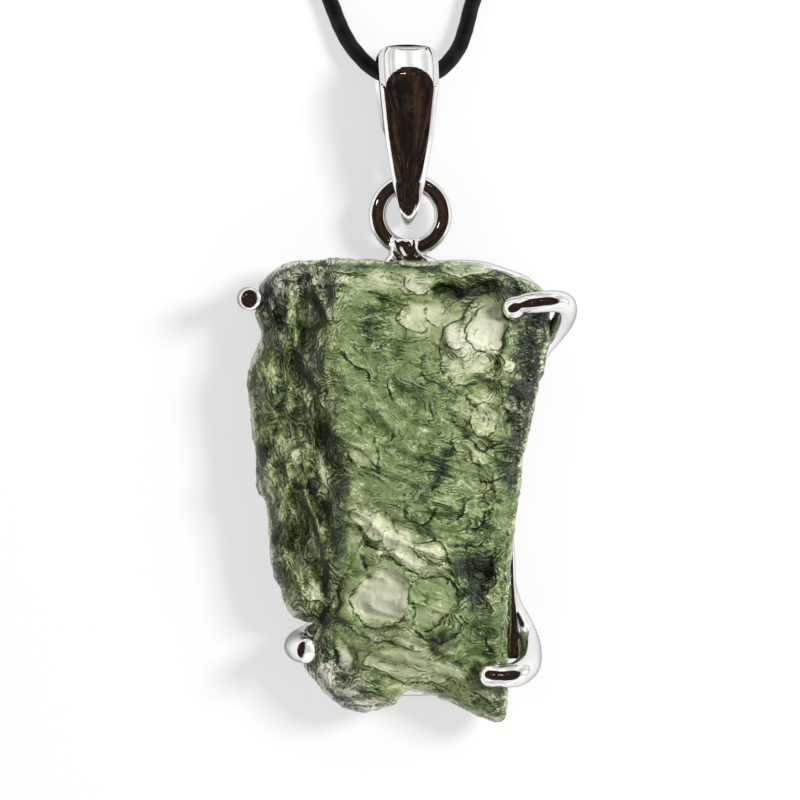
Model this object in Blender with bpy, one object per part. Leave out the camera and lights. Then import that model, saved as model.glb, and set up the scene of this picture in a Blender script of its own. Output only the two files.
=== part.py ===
"""A natural moldavite in a silver claw setting, with a jump ring, a folded bail and a black cord.

The pendant lies on its back: the stone's face looks up (+Z) and the bail points to +Y.
Every length below is in millimetres. MM turns it into metres when a mesh or a curve is made.
"""

import math

import bmesh
import bpy
from mathutils import Matrix, Vector, noise

MM = 0.001

# Clearances
TOUCH_GAP = 0.05  # between pieces that rest on each other
FLOOR_GAP = 0.02  # under the cord, so that no facet dips below the floor

# Stone: its outline, clockwise from the top left corner
STONE_OUTLINE = [
    (-10.66, 7.42), (-9.47, 8.54), (-8.03, 9.06), (-5.00, 9.20), (-0.50, 9.02),
    (3.50, 8.97), (6.10, 8.50), (8.50, 7.80), (10.20, 6.91), (10.60, 5.60),
    (10.60, 4.00), (10.17, 1.57), (9.69, -0.50), (9.28, -2.57), (8.64, -5.40),
    (8.40, -7.50), (8.00, -10.06), (7.85, -11.72), (7.57, -15.36), (7.49, -19.59),
    (7.41, -24.13), (6.70, -24.88), (5.89, -24.69), (4.30, -24.10), (3.11, -23.41),
    (0.90, -22.80), (-0.17, -22.70), (-0.97, -23.69), (-2.16, -23.98), (-3.36, -24.25),
    (-5.19, -23.53), (-6.62, -22.06), (-7.55, -20.60), (-7.05, -19.10), (-6.62, -17.75),
    (-7.97, -17.32), (-9.06, -16.16), (-9.25, -15.13), (-9.95, -13.60), (-10.18, -10.59),
    (-10.45, -8.70), (-11.05, -7.70), (-11.15, -5.11), (-11.45, -2.34), (-11.66, 0.80),
    (-10.85, 3.00), (-10.82, 4.23), (-11.20, 5.19), (-10.80, 6.30),
]
STONE_HEART = (-1.0, -7.0)
STONE_RIM_Z = 3.10
RIM_ROUND = 1.30
FRONT_RIM_RISE = 1.65
FRONT_CROWN = 2.55
FRONT_CROWN_REACH = 8.5
BACK_RIM_DROP = 1.62
BACK_BULGE = 1.15
BACK_BULGE_START = 2.2
BACK_BULGE_REACH = 6.0
OUTLINE_STEP = 0.9
SHELL_RINGS = 13  # rings of the outline from the edge in to the heart, on each side
STONE_GRAIN = 0.55  # size of the grid that the relief is worked into
STONE_FACETS = 5200

# Dishes in the face: x, y, half-widths, depth
DISHES = [
    (-1.95, -15.75, 2.15, 1.95, 0.62),
    (1.75, -16.05, 1.75, 2.05, 0.50),
    (5.95, 4.30, 1.45, 2.05, 0.70),
    (2.10, 4.60, 2.30, 1.60, 0.30),
    (4.90, 0.40, 2.00, 1.70, 0.32),
    (-7.60, 5.20, 1.80, 1.40, 0.35),
    (-8.60, -2.60, 1.50, 2.00, 0.40),
    (-7.70, -9.60, 1.40, 1.90, 0.40),
    (-7.00, -14.40, 1.30, 1.40, 0.35),
    (4.90, -21.00, 1.60, 1.20, 0.25),
    (-4.70, -20.40, 1.00, 1.60, 0.40),
    (5.60, -12.80, 1.20, 1.80, 0.30),
    (-1.20, -1.20, 2.60, 3.20, 0.22),
]
DISH_FLOOR = 0.70  # share of a dish's half-width where its wall starts, and where it ends
DISH_LIP = 1.18
# Lumps on the face: x, y, half-widths, height
LUMPS = [
    (-2.60, -10.90, 1.70, 1.10, 0.50),
    (0.60, -12.30, 1.60, 0.75, 0.38),
    (-0.60, -20.60, 3.00, 1.30, 0.30),
    (-6.40, 2.10, 1.60, 2.20, 0.40),
    (-7.60, -6.20, 1.50, 1.70, 0.35),
    (8.30, -1.60, 0.90, 2.00, 0.30),
    (7.30, -7.40, 0.90, 1.70, 0.30),
    (2.40, -7.20, 2.00, 2.40, 0.28),
]
# Ridges on the face: the points each runs through, its width and its height
RIDGES = [
    ([(-5.2, 7.2), (-5.4, 2.6), (-4.7, -2.5), (-4.2, -7.5), (-4.8, -12.5), (-4.5, -16.8)], 0.9, 0.60),
    ([(-6.2, -18.2), (-3.6, -18.1), (-1.2, -18.5), (1.2, -19.3), (3.4, -18.9)], 0.6, 0.45),
    ([(3.6, -13.4), (4.4, -15.4), (4.2, -17.6), (2.6, -19.0)], 0.6, 0.35),
    ([(6.9, 8.1), (7.6, 3.6), (7.0, -0.6), (6.6, -5.0), (6.3, -9.4)], 0.8, 0.40),
    ([(4.6, 7.2), (3.3, 5.6), (3.2, 3.4), (4.3, 1.6)], 0.6, 0.38),
    ([(-9.6, 8.2), (-4.6, 8.5), (0.4, 8.2), (4.4, 8.1), (8.6, 6.9)], 0.6, 0.35),
]
# Grooves cut below the face, as ridges with a depth
GROOVES = [
    ([(2.6, 6.9), (5.0, 7.2), (8.2, 7.2)], 0.55, 0.60),
    ([(-3.9, 2.2), (-2.4, 0.8)], 0.35, 0.30),
    ([(-0.9, 0.6), (-0.7, -0.9)], 0.35, 0.30),
    ([(-6.5, -17.9), (-5.1, -16.6), (-4.9, -14.6)], 0.55, 0.50),
]
HOLLOWS = [(3.4, 0.42), (1.7, 0.24)]  # the size and depth of the etched hollows in the skin
HOLLOW_LEVEL = 0.6  # share of a hollow's depth that the crests between hollows rise
HOLLOW_STEEPNESS = 2.4
ROUGH_SIDE_X = -4.9  # left of this the skin is rougher
ROUGH_SIDE_FADE = 1.5
ROUGH_SIDE_GAIN = 1.5
RELIEF_FADE = 1.6  # how far in from the edge the relief reaches its full height
RELIEF_SLOPE = 1.4  # how soon it fades where the surface turns towards the side
BACK_RELIEF = 0.5
EDGE_CRUMPLE = 0.16
CRUMPLE_SIZE = 1.6
FACE_LAYER = 0.5  # where in the noise each side of the stone is taken from
BACK_LAYER = 7.5

# Back frame: the middle of its wire, clockwise from the top, and the wire's section
FRAME_PATH = [
    (0.30, 8.35), (2.60, 8.45), (5.15, 8.43), (7.10, 7.90), (8.85, 7.15), (9.55, 5.90),
    (9.20, 3.90), (8.45, 1.90), (7.80, -0.20), (7.45, -3.20), (7.15, -6.60), (6.90, -10.00),
    (6.70, -13.20), (6.75, -16.40), (6.95, -19.20), (6.35, -21.40), (4.40, -22.50),
    (1.80, -22.83), (-1.00, -22.80), (-3.60, -22.20), (-5.40, -20.60), (-6.05, -18.30),
    (-6.90, -15.80), (-8.20, -13.40), (-8.80, -10.00), (-9.40, -6.00), (-9.90, -2.00),
    (-9.70, 1.50), (-9.25, 4.60), (-8.70, 6.90), (-7.10, 8.05), (-4.00, 8.40),
]
FRAME_WIDTH = 1.40
FRAME_HEIGHT = 1.30
FRAME_FOOT_WIDTH = 1.00
FRAME_SIDE = (0.22, 0.62)  # shares of its height between which the wire is full width
FRAME_TOP_SHARE = 0.55
FRAME_STEP = 1.75

# Jump ring and the solder seat that holds it to the frame
RING_CENTRE = (0.28, 12.42)
RING_RADIUS = 2.42
RING_WIRE = 1.20
RING_STEPS = 36
RING_SIDES = 8
HINGE_Z = 2.0
HINGE_Y = RING_CENTRE[1] + RING_RADIUS
# Seat sections: y, middle x, half-width, lowest z, highest z
SEAT_SECTIONS = [
    (8.75, 0.30, 1.95, 0.10, 1.30),
    (9.15, 0.28, 1.90, 0.12, 1.75),
    (9.50, 0.05, 1.30, 0.35, 2.45),
    (9.95, -0.20, 0.95, 0.85, 2.88),
    (10.40, -0.24, 1.05, 1.00, 2.92),
    (10.72, -0.26, 1.12, 1.15, 2.78),
]
SEAT_SIDES = 14
SEAT_SQUARENESS = 0.7

# Prongs: root on the frame, leg, bend and tip, with the wire's radius at each point
PRONGS = {
    "prong_top_left": [
        (-9.40, 6.00, 0.66, 0.55), (-10.60, 6.15, 0.72, 0.60), (-11.45, 6.25, 1.35, 0.74),
        (-11.66, 6.28, 2.50, 0.82), (-11.66, 6.28, 3.80, 0.85), (-11.42, 6.25, 4.95, 0.85),
        (-10.75, 6.20, 5.55, 0.82),
    ],
    "prong_top_right": [
        (7.95, -0.90, 0.66, 0.55), (8.72, 0.20, 0.70, 0.58), (9.45, 1.60, 0.82, 0.66),
        (10.18, 2.80, 1.20, 0.72), (10.95, 3.80, 2.00, 0.78), (11.50, 4.60, 3.20, 0.80),
        (11.70, 5.30, 4.60, 0.82), (11.50, 5.85, 5.70, 0.82), (10.70, 6.02, 6.30, 0.80),
        (9.50, 5.92, 6.45, 0.80), (8.40, 5.72, 6.25, 0.82), (7.72, 5.46, 6.00, 0.84),
    ],
    "prong_bottom_left": [
        (-6.10, -17.60, 0.66, 0.55), (-7.20, -18.40, 0.78, 0.66), (-7.95, -19.00, 1.50, 0.84),
        (-8.10, -19.30, 2.80, 0.92), (-8.00, -19.45, 4.00, 0.95), (-7.50, -19.55, 5.00, 0.95),
        (-6.85, -19.60, 5.45, 0.90),
    ],
    "prong_bottom_right": [
        (6.75, -11.40, 0.66, 0.50), (7.30, -12.80, 0.72, 0.56), (7.46, -14.60, 0.90, 0.62),
        (7.80, -16.30, 1.25, 0.74), (8.42, -17.70, 1.85, 0.84), (8.84, -18.90, 2.80, 0.92),
        (8.95, -19.80, 4.05, 0.92), (8.66, -20.70, 5.20, 0.93), (7.90, -21.25, 5.85, 0.93),
        (6.90, -21.40, 6.00, 0.93), (6.05, -21.30, 5.75, 0.93),
    ],
}
PRONG_STEP = 1.05
PRONG_TIP_ANGLES = (30, 55, 75, 86)  # degrees round the half-ball that ends a prong
WIRE_SIDES_RESOLUTION = 2  # a curve's bevel resolution, which gives eight sides

# Bail: a folded band seen from the side, measured from the hinge on the ring's top wire
BAIL_X = 0.17
BAIL_TILT = math.radians(2.7)
BAIL_TIP = 3.12
BAIL_TIP_DEPTH = 1.90
BAIL_RING_CLEARANCE = 1.30
BAIL_STRAIGHT = 7.80
BAIL_TOP_DEPTH = 2.25
BAIL_TOP_RISE = 2.24
BAIL_EYE_RADIUS = 1.58
BAIL_CHAMFER = 0.40
BAIL_CHAMFER_DROP = 0.22
BAIL_DOME = 0.10
BAIL_INSIDE_EXTRA = 0.6  # how much wider the inside may be than the outside, near the tip
BAIL_TIP_STEPS = 6
BAIL_SIDE_STEPS = 5
BAIL_TOP_STEPS = 6
# Half-width of the band at each distance from the hinge, tip first
BAIL_HALF_WIDTHS = [
    (-3.12, 0.16), (-2.95, 0.36), (-2.40, 0.60), (-1.60, 0.87), (0.20, 1.24), (2.40, 1.62),
    (3.80, 1.82), (6.10, 2.06), (7.20, 2.17), (8.20, 2.20), (9.10, 2.14), (9.70, 1.80), (10.04, 1.25),
]

# Cord: its length, its coil and the stretch that runs through the bail
CORD_DIAMETER = 1.20
CORD_LENGTH = 450.0
CORD_UNCOILED = 41.0
COIL_CENTRE = (-0.60, 41.60)
COIL_MEAN_RADIUS = 6.80
COIL_LAYERS = 2
COIL_LAYER_LENGTH = (CORD_LENGTH - CORD_UNCOILED) / COIL_LAYERS
COIL_TURNS_PER_LAYER = COIL_LAYER_LENGTH / (2 * math.pi * COIL_MEAN_RADIUS)
COIL_CORNER = 0.45
COIL_STEPS = 34
CORD_RUN = [
    (-9.68, 38.30, 0.62), (-8.62, 35.40, 0.62), (-7.35, 32.20, 0.62), (-6.25, 29.80, 0.62),
    (-5.55, 28.10, 0.62), (-4.78, 26.20, 0.72), (-3.80, 24.60, 1.05), (-2.17, 23.08, 1.50),
    (0.10, 22.45, 1.60), (2.32, 23.10, 1.50), (3.72, 24.60, 1.05), (4.36, 26.20, 0.72),
    (4.85, 28.10, 0.62), (5.55, 29.90, 0.80), (6.70, 31.35, 1.20), (8.00, 32.60, 1.45),
]
CORD_TAIL = [(8.00, 32.60, 1.45), (8.75, 34.40, 1.50), (9.35, 36.60, 1.62), (9.50, 38.60, 1.76)]
RUN_ENDS = (5.6, 2.6)  # how much of the run's two ends lies in the coil and in the knot
TAIL_ENDS = (2.1, 1.6)  # and of the tail's, in the knot and in the coil
ROUTE_STEP = 0.2
RUN_STEP = 1.45
KNOT_CENTRE = (8.00, 32.60, 1.46)
KNOT_RADII = (1.75, 1.95, 1.42)
KNOT_TURN = math.radians(-35)
KNOT_SEGMENTS = 14
KNOT_RINGS = 9


def clear_scene():
    for obj in list(bpy.data.objects):
        bpy.data.objects.remove(obj)


def make_material(name, colour, roughness, metallic=0.0, transmission=0.0):
    material = bpy.data.materials.new(name)
    material.use_nodes = True
    shader = material.node_tree.nodes["Principled BSDF"]
    shader.inputs["Base Color"].default_value = (*colour, 1.0)
    shader.inputs["Roughness"].default_value = roughness
    shader.inputs["Metallic"].default_value = metallic
    shader.inputs["Transmission Weight"].default_value = transmission
    shader.inputs["IOR"].default_value = 1.5
    return material


def smoothstep(value):
    value = min(max(value, 0.0), 1.0)
    return value * value * (3.0 - 2.0 * value)


def catmull_rom(before, start, end, after, t):
    """A point of the smooth curve from start to end, at t between 0 and 1."""
    return 0.5 * (
        2.0 * start
        + (end - before) * t
        + (2.0 * before - 5.0 * start + 4.0 * end - after) * t * t
        + (3.0 * start - before - 3.0 * end + after) * t**3
    )


def smooth_path(points, closed, steps=12):
    """Points along a smooth curve through the given ones, steps of them in each span."""
    places = [Vector(point) for point in points]
    count = len(places)
    dense = []
    for i in range(count if closed else count - 1):
        if closed:
            around = [places[(i + k) % count] for k in (-1, 0, 1, 2)]
        else:
            around = [places[min(max(i + k, 0), count - 1)] for k in (-1, 0, 1, 2)]
        dense += [catmull_rom(*around, step / steps) for step in range(steps)]
    return dense if closed else dense + [places[-1]]


def evenly(dense, closed, spacing):
    """The same curve with its points about one spacing apart."""
    line = dense + [dense[0]] if closed else dense
    reach = [0.0]
    for a, b in zip(line, line[1:]):
        reach.append(reach[-1] + (b - a).length)
    count = max(round(reach[-1] / spacing), 3)
    result = []
    k = 0
    for i in range(count if closed else count + 1):
        target = reach[-1] * i / count
        while k < len(reach) - 2 and reach[k + 1] < target:
            k += 1
        share = (target - reach[k]) / (reach[k + 1] - reach[k])
        result.append(line[k].lerp(line[k + 1], share))
    return result


def add_object(name, mesh, material=None):
    obj = bpy.data.objects.new(name, mesh)
    bpy.context.scene.collection.objects.link(obj)
    if material:
        mesh.materials.append(material)
    return obj


def mesh_from(name, points, faces, smooth_angle=math.radians(40)):
    """A mesh from points in millimetres, shaded smooth but for its sharp edges."""
    mesh = bpy.data.meshes.new(name)
    mesh.from_pydata([tuple(Vector(point) * MM) for point in points], [], faces)
    mesh.update()
    mesh.shade_smooth()
    mesh.set_sharp_from_angle(angle=smooth_angle)
    return mesh


def ring_faces(rings, size, closed):
    """Quads that join rings of equal size, closed end to end or capped."""
    faces = []
    for i in range(rings if closed else rings - 1):
        low = i * size
        high = (i + 1) % rings * size
        for j in range(size):
            k = (j + 1) % size
            faces.append((low + j, low + k, high + k, high + j))
    if not closed:
        faces.append(tuple(reversed(range(size))))
        faces.append(tuple(range((rings - 1) * size, rings * size)))
    return faces


def loft(name, rings, closed, material=None):
    """A solid through rings of points, turned face out if it came out inside out."""
    points = [point for ring in rings for point in ring]
    mesh = mesh_from(name, points, ring_faces(len(rings), len(rings[0]), closed))
    shape = bmesh.new()
    shape.from_mesh(mesh)
    bmesh.ops.recalc_face_normals(shape, faces=shape.faces)
    if shape.calc_volume(signed=True) < 0:
        bmesh.ops.reverse_faces(shape, faces=shape.faces)
    shape.to_mesh(mesh)
    shape.free()
    return add_object(name, mesh, material)


def hide_cutter(obj):
    obj.hide_render = True
    obj.display_type = "WIRE"
    return obj


def solid_copy(source, name):
    """A mesh object of what the source looks like once evaluated, with its caps joined on."""
    graph = bpy.context.evaluated_depsgraph_get()
    mesh = bpy.data.meshes.new_from_object(source.evaluated_get(graph))
    shape = bmesh.new()
    shape.from_mesh(mesh)
    bmesh.ops.remove_doubles(shape, verts=shape.verts, dist=0.001 * MM)
    bmesh.ops.recalc_face_normals(shape, faces=shape.faces)
    shape.to_mesh(mesh)
    shape.free()
    mesh.materials.clear()
    return add_object(name, mesh)


def cut(obj, cutter):
    modifier = obj.modifiers.new(f"clear_of_{cutter.name}", "BOOLEAN")
    modifier.operation = "DIFFERENCE"
    modifier.object = cutter


def tube(name, path, radii, material=None):
    """A round wire along a path: a poly curve with a bevel, a radius at each point and flat caps."""
    curve = bpy.data.curves.new(name, "CURVE")
    curve.dimensions = "3D"
    curve.bevel_depth = MM
    curve.bevel_resolution = WIRE_SIDES_RESOLUTION
    curve.use_fill_caps = True
    spline = curve.splines.new("POLY")
    spline.points.add(len(path) - 1)
    for point, place, radius in zip(spline.points, path, radii):
        point.co = (*(Vector(place) * MM), 1.0)
        point.radius = radius
    return add_object(name, curve, material)


# Stone


def distance_to_line(x, y, points, closed):
    """The shortest distance from a place to a line of points."""
    best = math.inf
    ends = points[1:] + points[:1] if closed else points[1:]
    for (ax, ay), (bx, by) in zip(points, ends):
        dx, dy = bx - ax, by - ay
        along = ((x - ax) * dx + (y - ay) * dy) / (dx * dx + dy * dy)
        along = min(max(along, 0.0), 1.0)
        best = min(best, math.hypot(x - ax - along * dx, y - ay - along * dy))
    return best


def rim_round(depth):
    """How far the rounded rim has risen, from 0 at the edge to 1 where it is full."""
    share = min(depth / RIM_ROUND, 1.0)
    return math.sqrt(1.0 - (1.0 - share) ** 2)


def front_height(depth):
    return (
        STONE_RIM_Z
        + FRONT_RIM_RISE * rim_round(depth)
        + FRONT_CROWN * smoothstep(depth / FRONT_CROWN_REACH)
    )


def back_height(depth):
    bulge = smoothstep((depth - BACK_BULGE_START) / BACK_BULGE_REACH)
    return STONE_RIM_Z - BACK_RIM_DROP * rim_round(depth) - BACK_BULGE * bulge


def dish(x, y, feature):
    """A smooth hollow with a firm rim, or a lump of the same form."""
    middle_x, middle_y, half_x, half_y, depth = feature
    q = math.hypot((x - middle_x) / half_x, (y - middle_y) / half_y)
    return depth * (1.0 - smoothstep((q - DISH_FLOOR) / (DISH_LIP - DISH_FLOOR)))


def ridge(x, y, feature):
    points, width, height = feature
    away = distance_to_line(x, y, points, closed=False) / width
    return height * math.exp(-away * away)


def etching(x, y, layer):
    """The natural skin: folded noise, which has round hollows and sharp crests between them."""
    total = 0.0
    for size, depth in HOLLOWS:
        wave = abs(noise.noise(Vector((x / size, y / size, layer))))
        total += depth * (HOLLOW_LEVEL - HOLLOW_STEEPNESS * wave)
    rough = smoothstep((ROUGH_SIDE_X - x) / ROUGH_SIDE_FADE)
    return total * (1.0 + (ROUGH_SIDE_GAIN - 1.0) * rough)


def face_relief(x, y):
    height = sum(dish(x, y, lump) for lump in LUMPS)
    height -= sum(dish(x, y, hollow) for hollow in DISHES)
    height += sum(ridge(x, y, line) for line in RIDGES)
    height -= sum(ridge(x, y, line) for line in GROOVES)
    return height + etching(x, y, FACE_LAYER)


def stone_shell(outline):
    """The stone's plain form: rings of the outline drawn in towards its heart, front and back."""
    heart = Vector(STONE_HEART)
    shares = [math.cos(0.5 * math.pi * k / SHELL_RINGS) for k in range(SHELL_RINGS)]
    flat = [(p.x, p.y) for p in outline]
    front, back = [], []
    for share in shares:
        places = [heart + (point - heart) * share for point in outline]
        depths = [distance_to_line(p.x, p.y, flat, closed=True) for p in places]
        front.append([(p.x, p.y, front_height(d)) for p, d in zip(places, depths)])
        back.append([(p.x, p.y, back_height(d)) for p, d in zip(places, depths)])
    return loft("stone_plain", list(reversed(front)) + back[1:], closed=False)


def weather(mesh, outline):
    """Moves each point of the stone by the relief of the face, the back or the edge."""
    flat = [(p.x, p.y) for p in outline[::2]]
    moves = []
    for vertex in mesh.vertices:
        place = vertex.co / MM
        normal = vertex.normal
        depth = distance_to_line(place.x, place.y, flat, closed=True)
        inside = smoothstep(depth / RELIEF_FADE)
        up = smoothstep(normal.z * RELIEF_SLOPE) * inside
        down = smoothstep(-normal.z * RELIEF_SLOPE) * inside
        lift = face_relief(place.x, place.y) * up
        drop = BACK_RELIEF * etching(place.x, place.y, BACK_LAYER) * down
        edge = EDGE_CRUMPLE * noise.noise(place / CRUMPLE_SIZE) * (1.0 - up - down)
        side = Vector((normal.x, normal.y, 0.0)) * edge
        moves.append((place + side + Vector((0.0, 0.0, lift - drop))) * MM)
    for vertex, place in zip(mesh.vertices, moves):
        vertex.co = place


def build_stone(material, cutters):
    curve = smooth_path(STONE_OUTLINE, closed=True)
    outline = evenly(curve, closed=True, spacing=OUTLINE_STEP)
    plain = stone_shell(outline)
    remesh = plain.modifiers.new("even_facets", "REMESH")
    remesh.mode = "VOXEL"
    remesh.voxel_size = STONE_GRAIN * MM
    bpy.context.view_layer.update()
    stone = solid_copy(plain, "stone")
    bpy.data.objects.remove(plain)
    weather(stone.data, outline)
    stone.data.materials.append(material)
    stone.data.shade_smooth()
    thin = stone.modifiers.new("fewer_facets", "DECIMATE")
    stone.data.calc_loop_triangles()
    thin.ratio = STONE_FACETS / len(stone.data.loop_triangles)
    for cutter in cutters:
        cut(stone, cutter)
    return stone


# Setting


def frame_section(grow):
    """Half-round section on a flat foot: outward offset and height, in order round the wire."""
    half = FRAME_WIDTH / 2 + grow
    foot = FRAME_FOOT_WIDTH / 2 + grow
    top = FRAME_HEIGHT + grow
    low, high = (share * top for share in FRAME_SIDE)
    flat = FRAME_TOP_SHARE * half
    return [
        (-foot, -grow), (foot, -grow), (half, low), (half, high),
        (flat, top), (-flat, top), (-half, high), (-half, low),
    ]


def build_frame(name, material=None, grow=0.0):
    path = evenly(smooth_path(FRAME_PATH, closed=True), closed=True, spacing=FRAME_STEP)
    rings = []
    for i, place in enumerate(path):
        run = (path[(i + 1) % len(path)] - path[i - 1]).normalized()
        outward = Vector((-run.y, run.x))
        rings.append(
            [(*(place + outward * offset), height) for offset, height in frame_section(grow)]
        )
    return loft(name, rings, closed=True, material=material)


def rounded_tip(points):
    """Adds the half-ball that closes a prong, as rings of shrinking radius past its last point."""
    *tip, radius = points[-1]
    tip = Vector(tip)
    ahead = (tip - Vector(points[-2][:3])).normalized()
    ball = []
    for degrees in PRONG_TIP_ANGLES:
        angle = math.radians(degrees)
        ball.append((*(tip + ahead * radius * math.sin(angle)), radius * math.cos(angle)))
    return ball


def build_prong(name, points, material=None, grow=0.0):
    body = evenly(smooth_path(points, closed=False), closed=False, spacing=PRONG_STEP)
    wire = [tuple(p) for p in body] + rounded_tip(points)
    return tube(name, [p[:3] for p in wire], [p[3] + grow for p in wire], material)


def build_ring(name, material=None, grow=0.0):
    bpy.ops.mesh.primitive_torus_add(
        location=(RING_CENTRE[0] * MM, RING_CENTRE[1] * MM, HINGE_Z * MM),
        major_radius=RING_RADIUS * MM,
        minor_radius=(RING_WIRE / 2 + grow) * MM,
        major_segments=RING_STEPS,
        minor_segments=RING_SIDES,
    )
    ring = bpy.context.object
    ring.name = name
    ring.data.shade_smooth()
    if material:
        ring.data.materials.append(material)
    return ring


def build_seat(material, cutters):
    """A flared post of solder from the frame up round the bottom of the ring."""
    rings = []
    for y, middle, half, low, high in SEAT_SECTIONS:
        ring = []
        for k in range(SEAT_SIDES):
            angle = 2 * math.pi * k / SEAT_SIDES
            across = math.copysign(abs(math.cos(angle)) ** SEAT_SQUARENESS, math.cos(angle))
            tall = math.copysign(abs(math.sin(angle)) ** SEAT_SQUARENESS, math.sin(angle))
            ring.append((middle + half * across, y, (low + high) / 2 + (high - low) / 2 * tall))
        rings.append(ring)
    seat = loft("ring_seat", rings, closed=False, material=material)
    for cutter in cutters:
        cut(seat, cutter)
    return seat


# Bail


def bail_half_width(along):
    for (a, wide_a), (b, wide_b) in zip(BAIL_HALF_WIDTHS, BAIL_HALF_WIDTHS[1:]):
        if along <= b:
            share = max((along - a) / (b - a), 0.0)
            return wide_a + (wide_b - wide_a) * share
    return BAIL_HALF_WIDTHS[-1][1]


def bail_stations():
    """Outer and inner places of the band along its front half, from the tip to the top."""
    stations = []
    for k in range(BAIL_TIP_STEPS):
        angle = math.radians(90) * k / BAIL_TIP_STEPS
        outer = (-BAIL_TIP * math.cos(angle), BAIL_TIP_DEPTH * math.sin(angle))
        inner = (-BAIL_RING_CLEARANCE * math.cos(angle), BAIL_RING_CLEARANCE * math.sin(angle))
        stations.append((outer, inner))
    for k in range(BAIL_SIDE_STEPS):
        share = k / BAIL_SIDE_STEPS
        along = BAIL_STRAIGHT * share
        outer = BAIL_TIP_DEPTH + (BAIL_TOP_DEPTH - BAIL_TIP_DEPTH) * share
        inner = BAIL_RING_CLEARANCE + (BAIL_EYE_RADIUS - BAIL_RING_CLEARANCE) * share
        stations.append(((along, outer), (along, inner)))
    for k in range(BAIL_TOP_STEPS + 1):
        angle = math.radians(90) * (1 - k / BAIL_TOP_STEPS)
        outer = (
            BAIL_STRAIGHT + BAIL_TOP_RISE * math.cos(angle),
            BAIL_TOP_DEPTH * math.sin(angle),
        )
        inner = (
            BAIL_STRAIGHT + BAIL_EYE_RADIUS * math.cos(angle),
            BAIL_EYE_RADIUS * math.sin(angle),
        )
        stations.append((outer, inner))
    return stations


def bail_section(outer, inner):
    """Across the band: a flat inside, chamfered edges and a slightly domed outside."""
    wide = bail_half_width(outer[0])
    inside = min(bail_half_width(inner[0]), wide + BAIL_INSIDE_EXTRA)
    toward = (Vector(inner) - Vector(outer)).normalized()
    chamfer = min(BAIL_CHAMFER, 0.45 * wide)
    edge = Vector(outer) + toward * BAIL_CHAMFER_DROP
    crown = Vector(outer) - toward * BAIL_DOME
    return [
        (-inside, *inner), (inside, *inner), (wide, *edge), (wide - chamfer, *outer),
        (0.0, *crown), (chamfer - wide, *outer), (-wide, *edge),
    ]


def build_bail(material):
    front = bail_stations()
    back = [((o[0], -o[1]), (i[0], -i[1])) for o, i in reversed(front[1:-1])]
    rings = [bail_section(outer, inner) for outer, inner in front + back]
    bail = loft("bail", rings, closed=True, material=material)
    tilt = Matrix.Rotation(BAIL_TILT, 4, "X")
    bail.matrix_world = Matrix.Translation(Vector((BAIL_X, HINGE_Y, HINGE_Z)) * MM) @ tilt
    return bail


# Cord


def build_cord_run(name, points, ends, material):
    """The stretch of cord between the lengths hidden at its two ends, as a plain tube."""
    route = evenly(smooth_path(points, closed=False), closed=False, spacing=ROUTE_STEP)
    first = round(ends[0] / ROUTE_STEP)
    last = len(route) - round(ends[1] / ROUTE_STEP)
    path = evenly(route[first:last], closed=False, spacing=RUN_STEP)
    return tube(name, path, [CORD_DIAMETER / 2] * len(path), material)


def build_coil(material):
    """The outer form of the coiled cord: a turned ring with rounded corners."""
    spread = CORD_DIAMETER * COIL_TURNS_PER_LAYER / 2 + CORD_DIAMETER / 2
    low = FLOOR_GAP
    high = FLOOR_GAP + CORD_DIAMETER * COIL_LAYERS
    inner = COIL_MEAN_RADIUS - spread
    outer = COIL_MEAN_RADIUS + spread
    near = inner + COIL_CORNER
    far = outer - COIL_CORNER
    profile = [
        (near, low), (far, low), (outer, low + COIL_CORNER), (outer, high - COIL_CORNER),
        (far, high), (near, high), (inner, high - COIL_CORNER), (inner, low + COIL_CORNER),
    ]
    rings = []
    for k in range(COIL_STEPS):
        angle = 2 * math.pi * k / COIL_STEPS
        x = COIL_CENTRE[0]
        y = COIL_CENTRE[1]
        rings.append([(x + r * math.cos(angle), y + r * math.sin(angle), z) for r, z in profile])
    return loft("cord_coil", rings, closed=True, material=material)


def build_knot(material):
    """The knot that joins the cord's two ends: a lumpy ball, squeezed flat by the pull."""
    bpy.ops.mesh.primitive_uv_sphere_add(
        segments=KNOT_SEGMENTS,
        ring_count=KNOT_RINGS,
        radius=1.0,
    )
    knot = bpy.context.object
    knot.name = "cord_knot"
    place = Matrix.Translation(Vector(KNOT_CENTRE) * MM) @ Matrix.Rotation(KNOT_TURN, 4, "Z")
    knot.matrix_world = place @ Matrix.Diagonal((*(Vector(KNOT_RADII) * MM), 1.0))
    knot.data.shade_smooth()
    knot.data.materials.append(material)
    return knot


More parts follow.
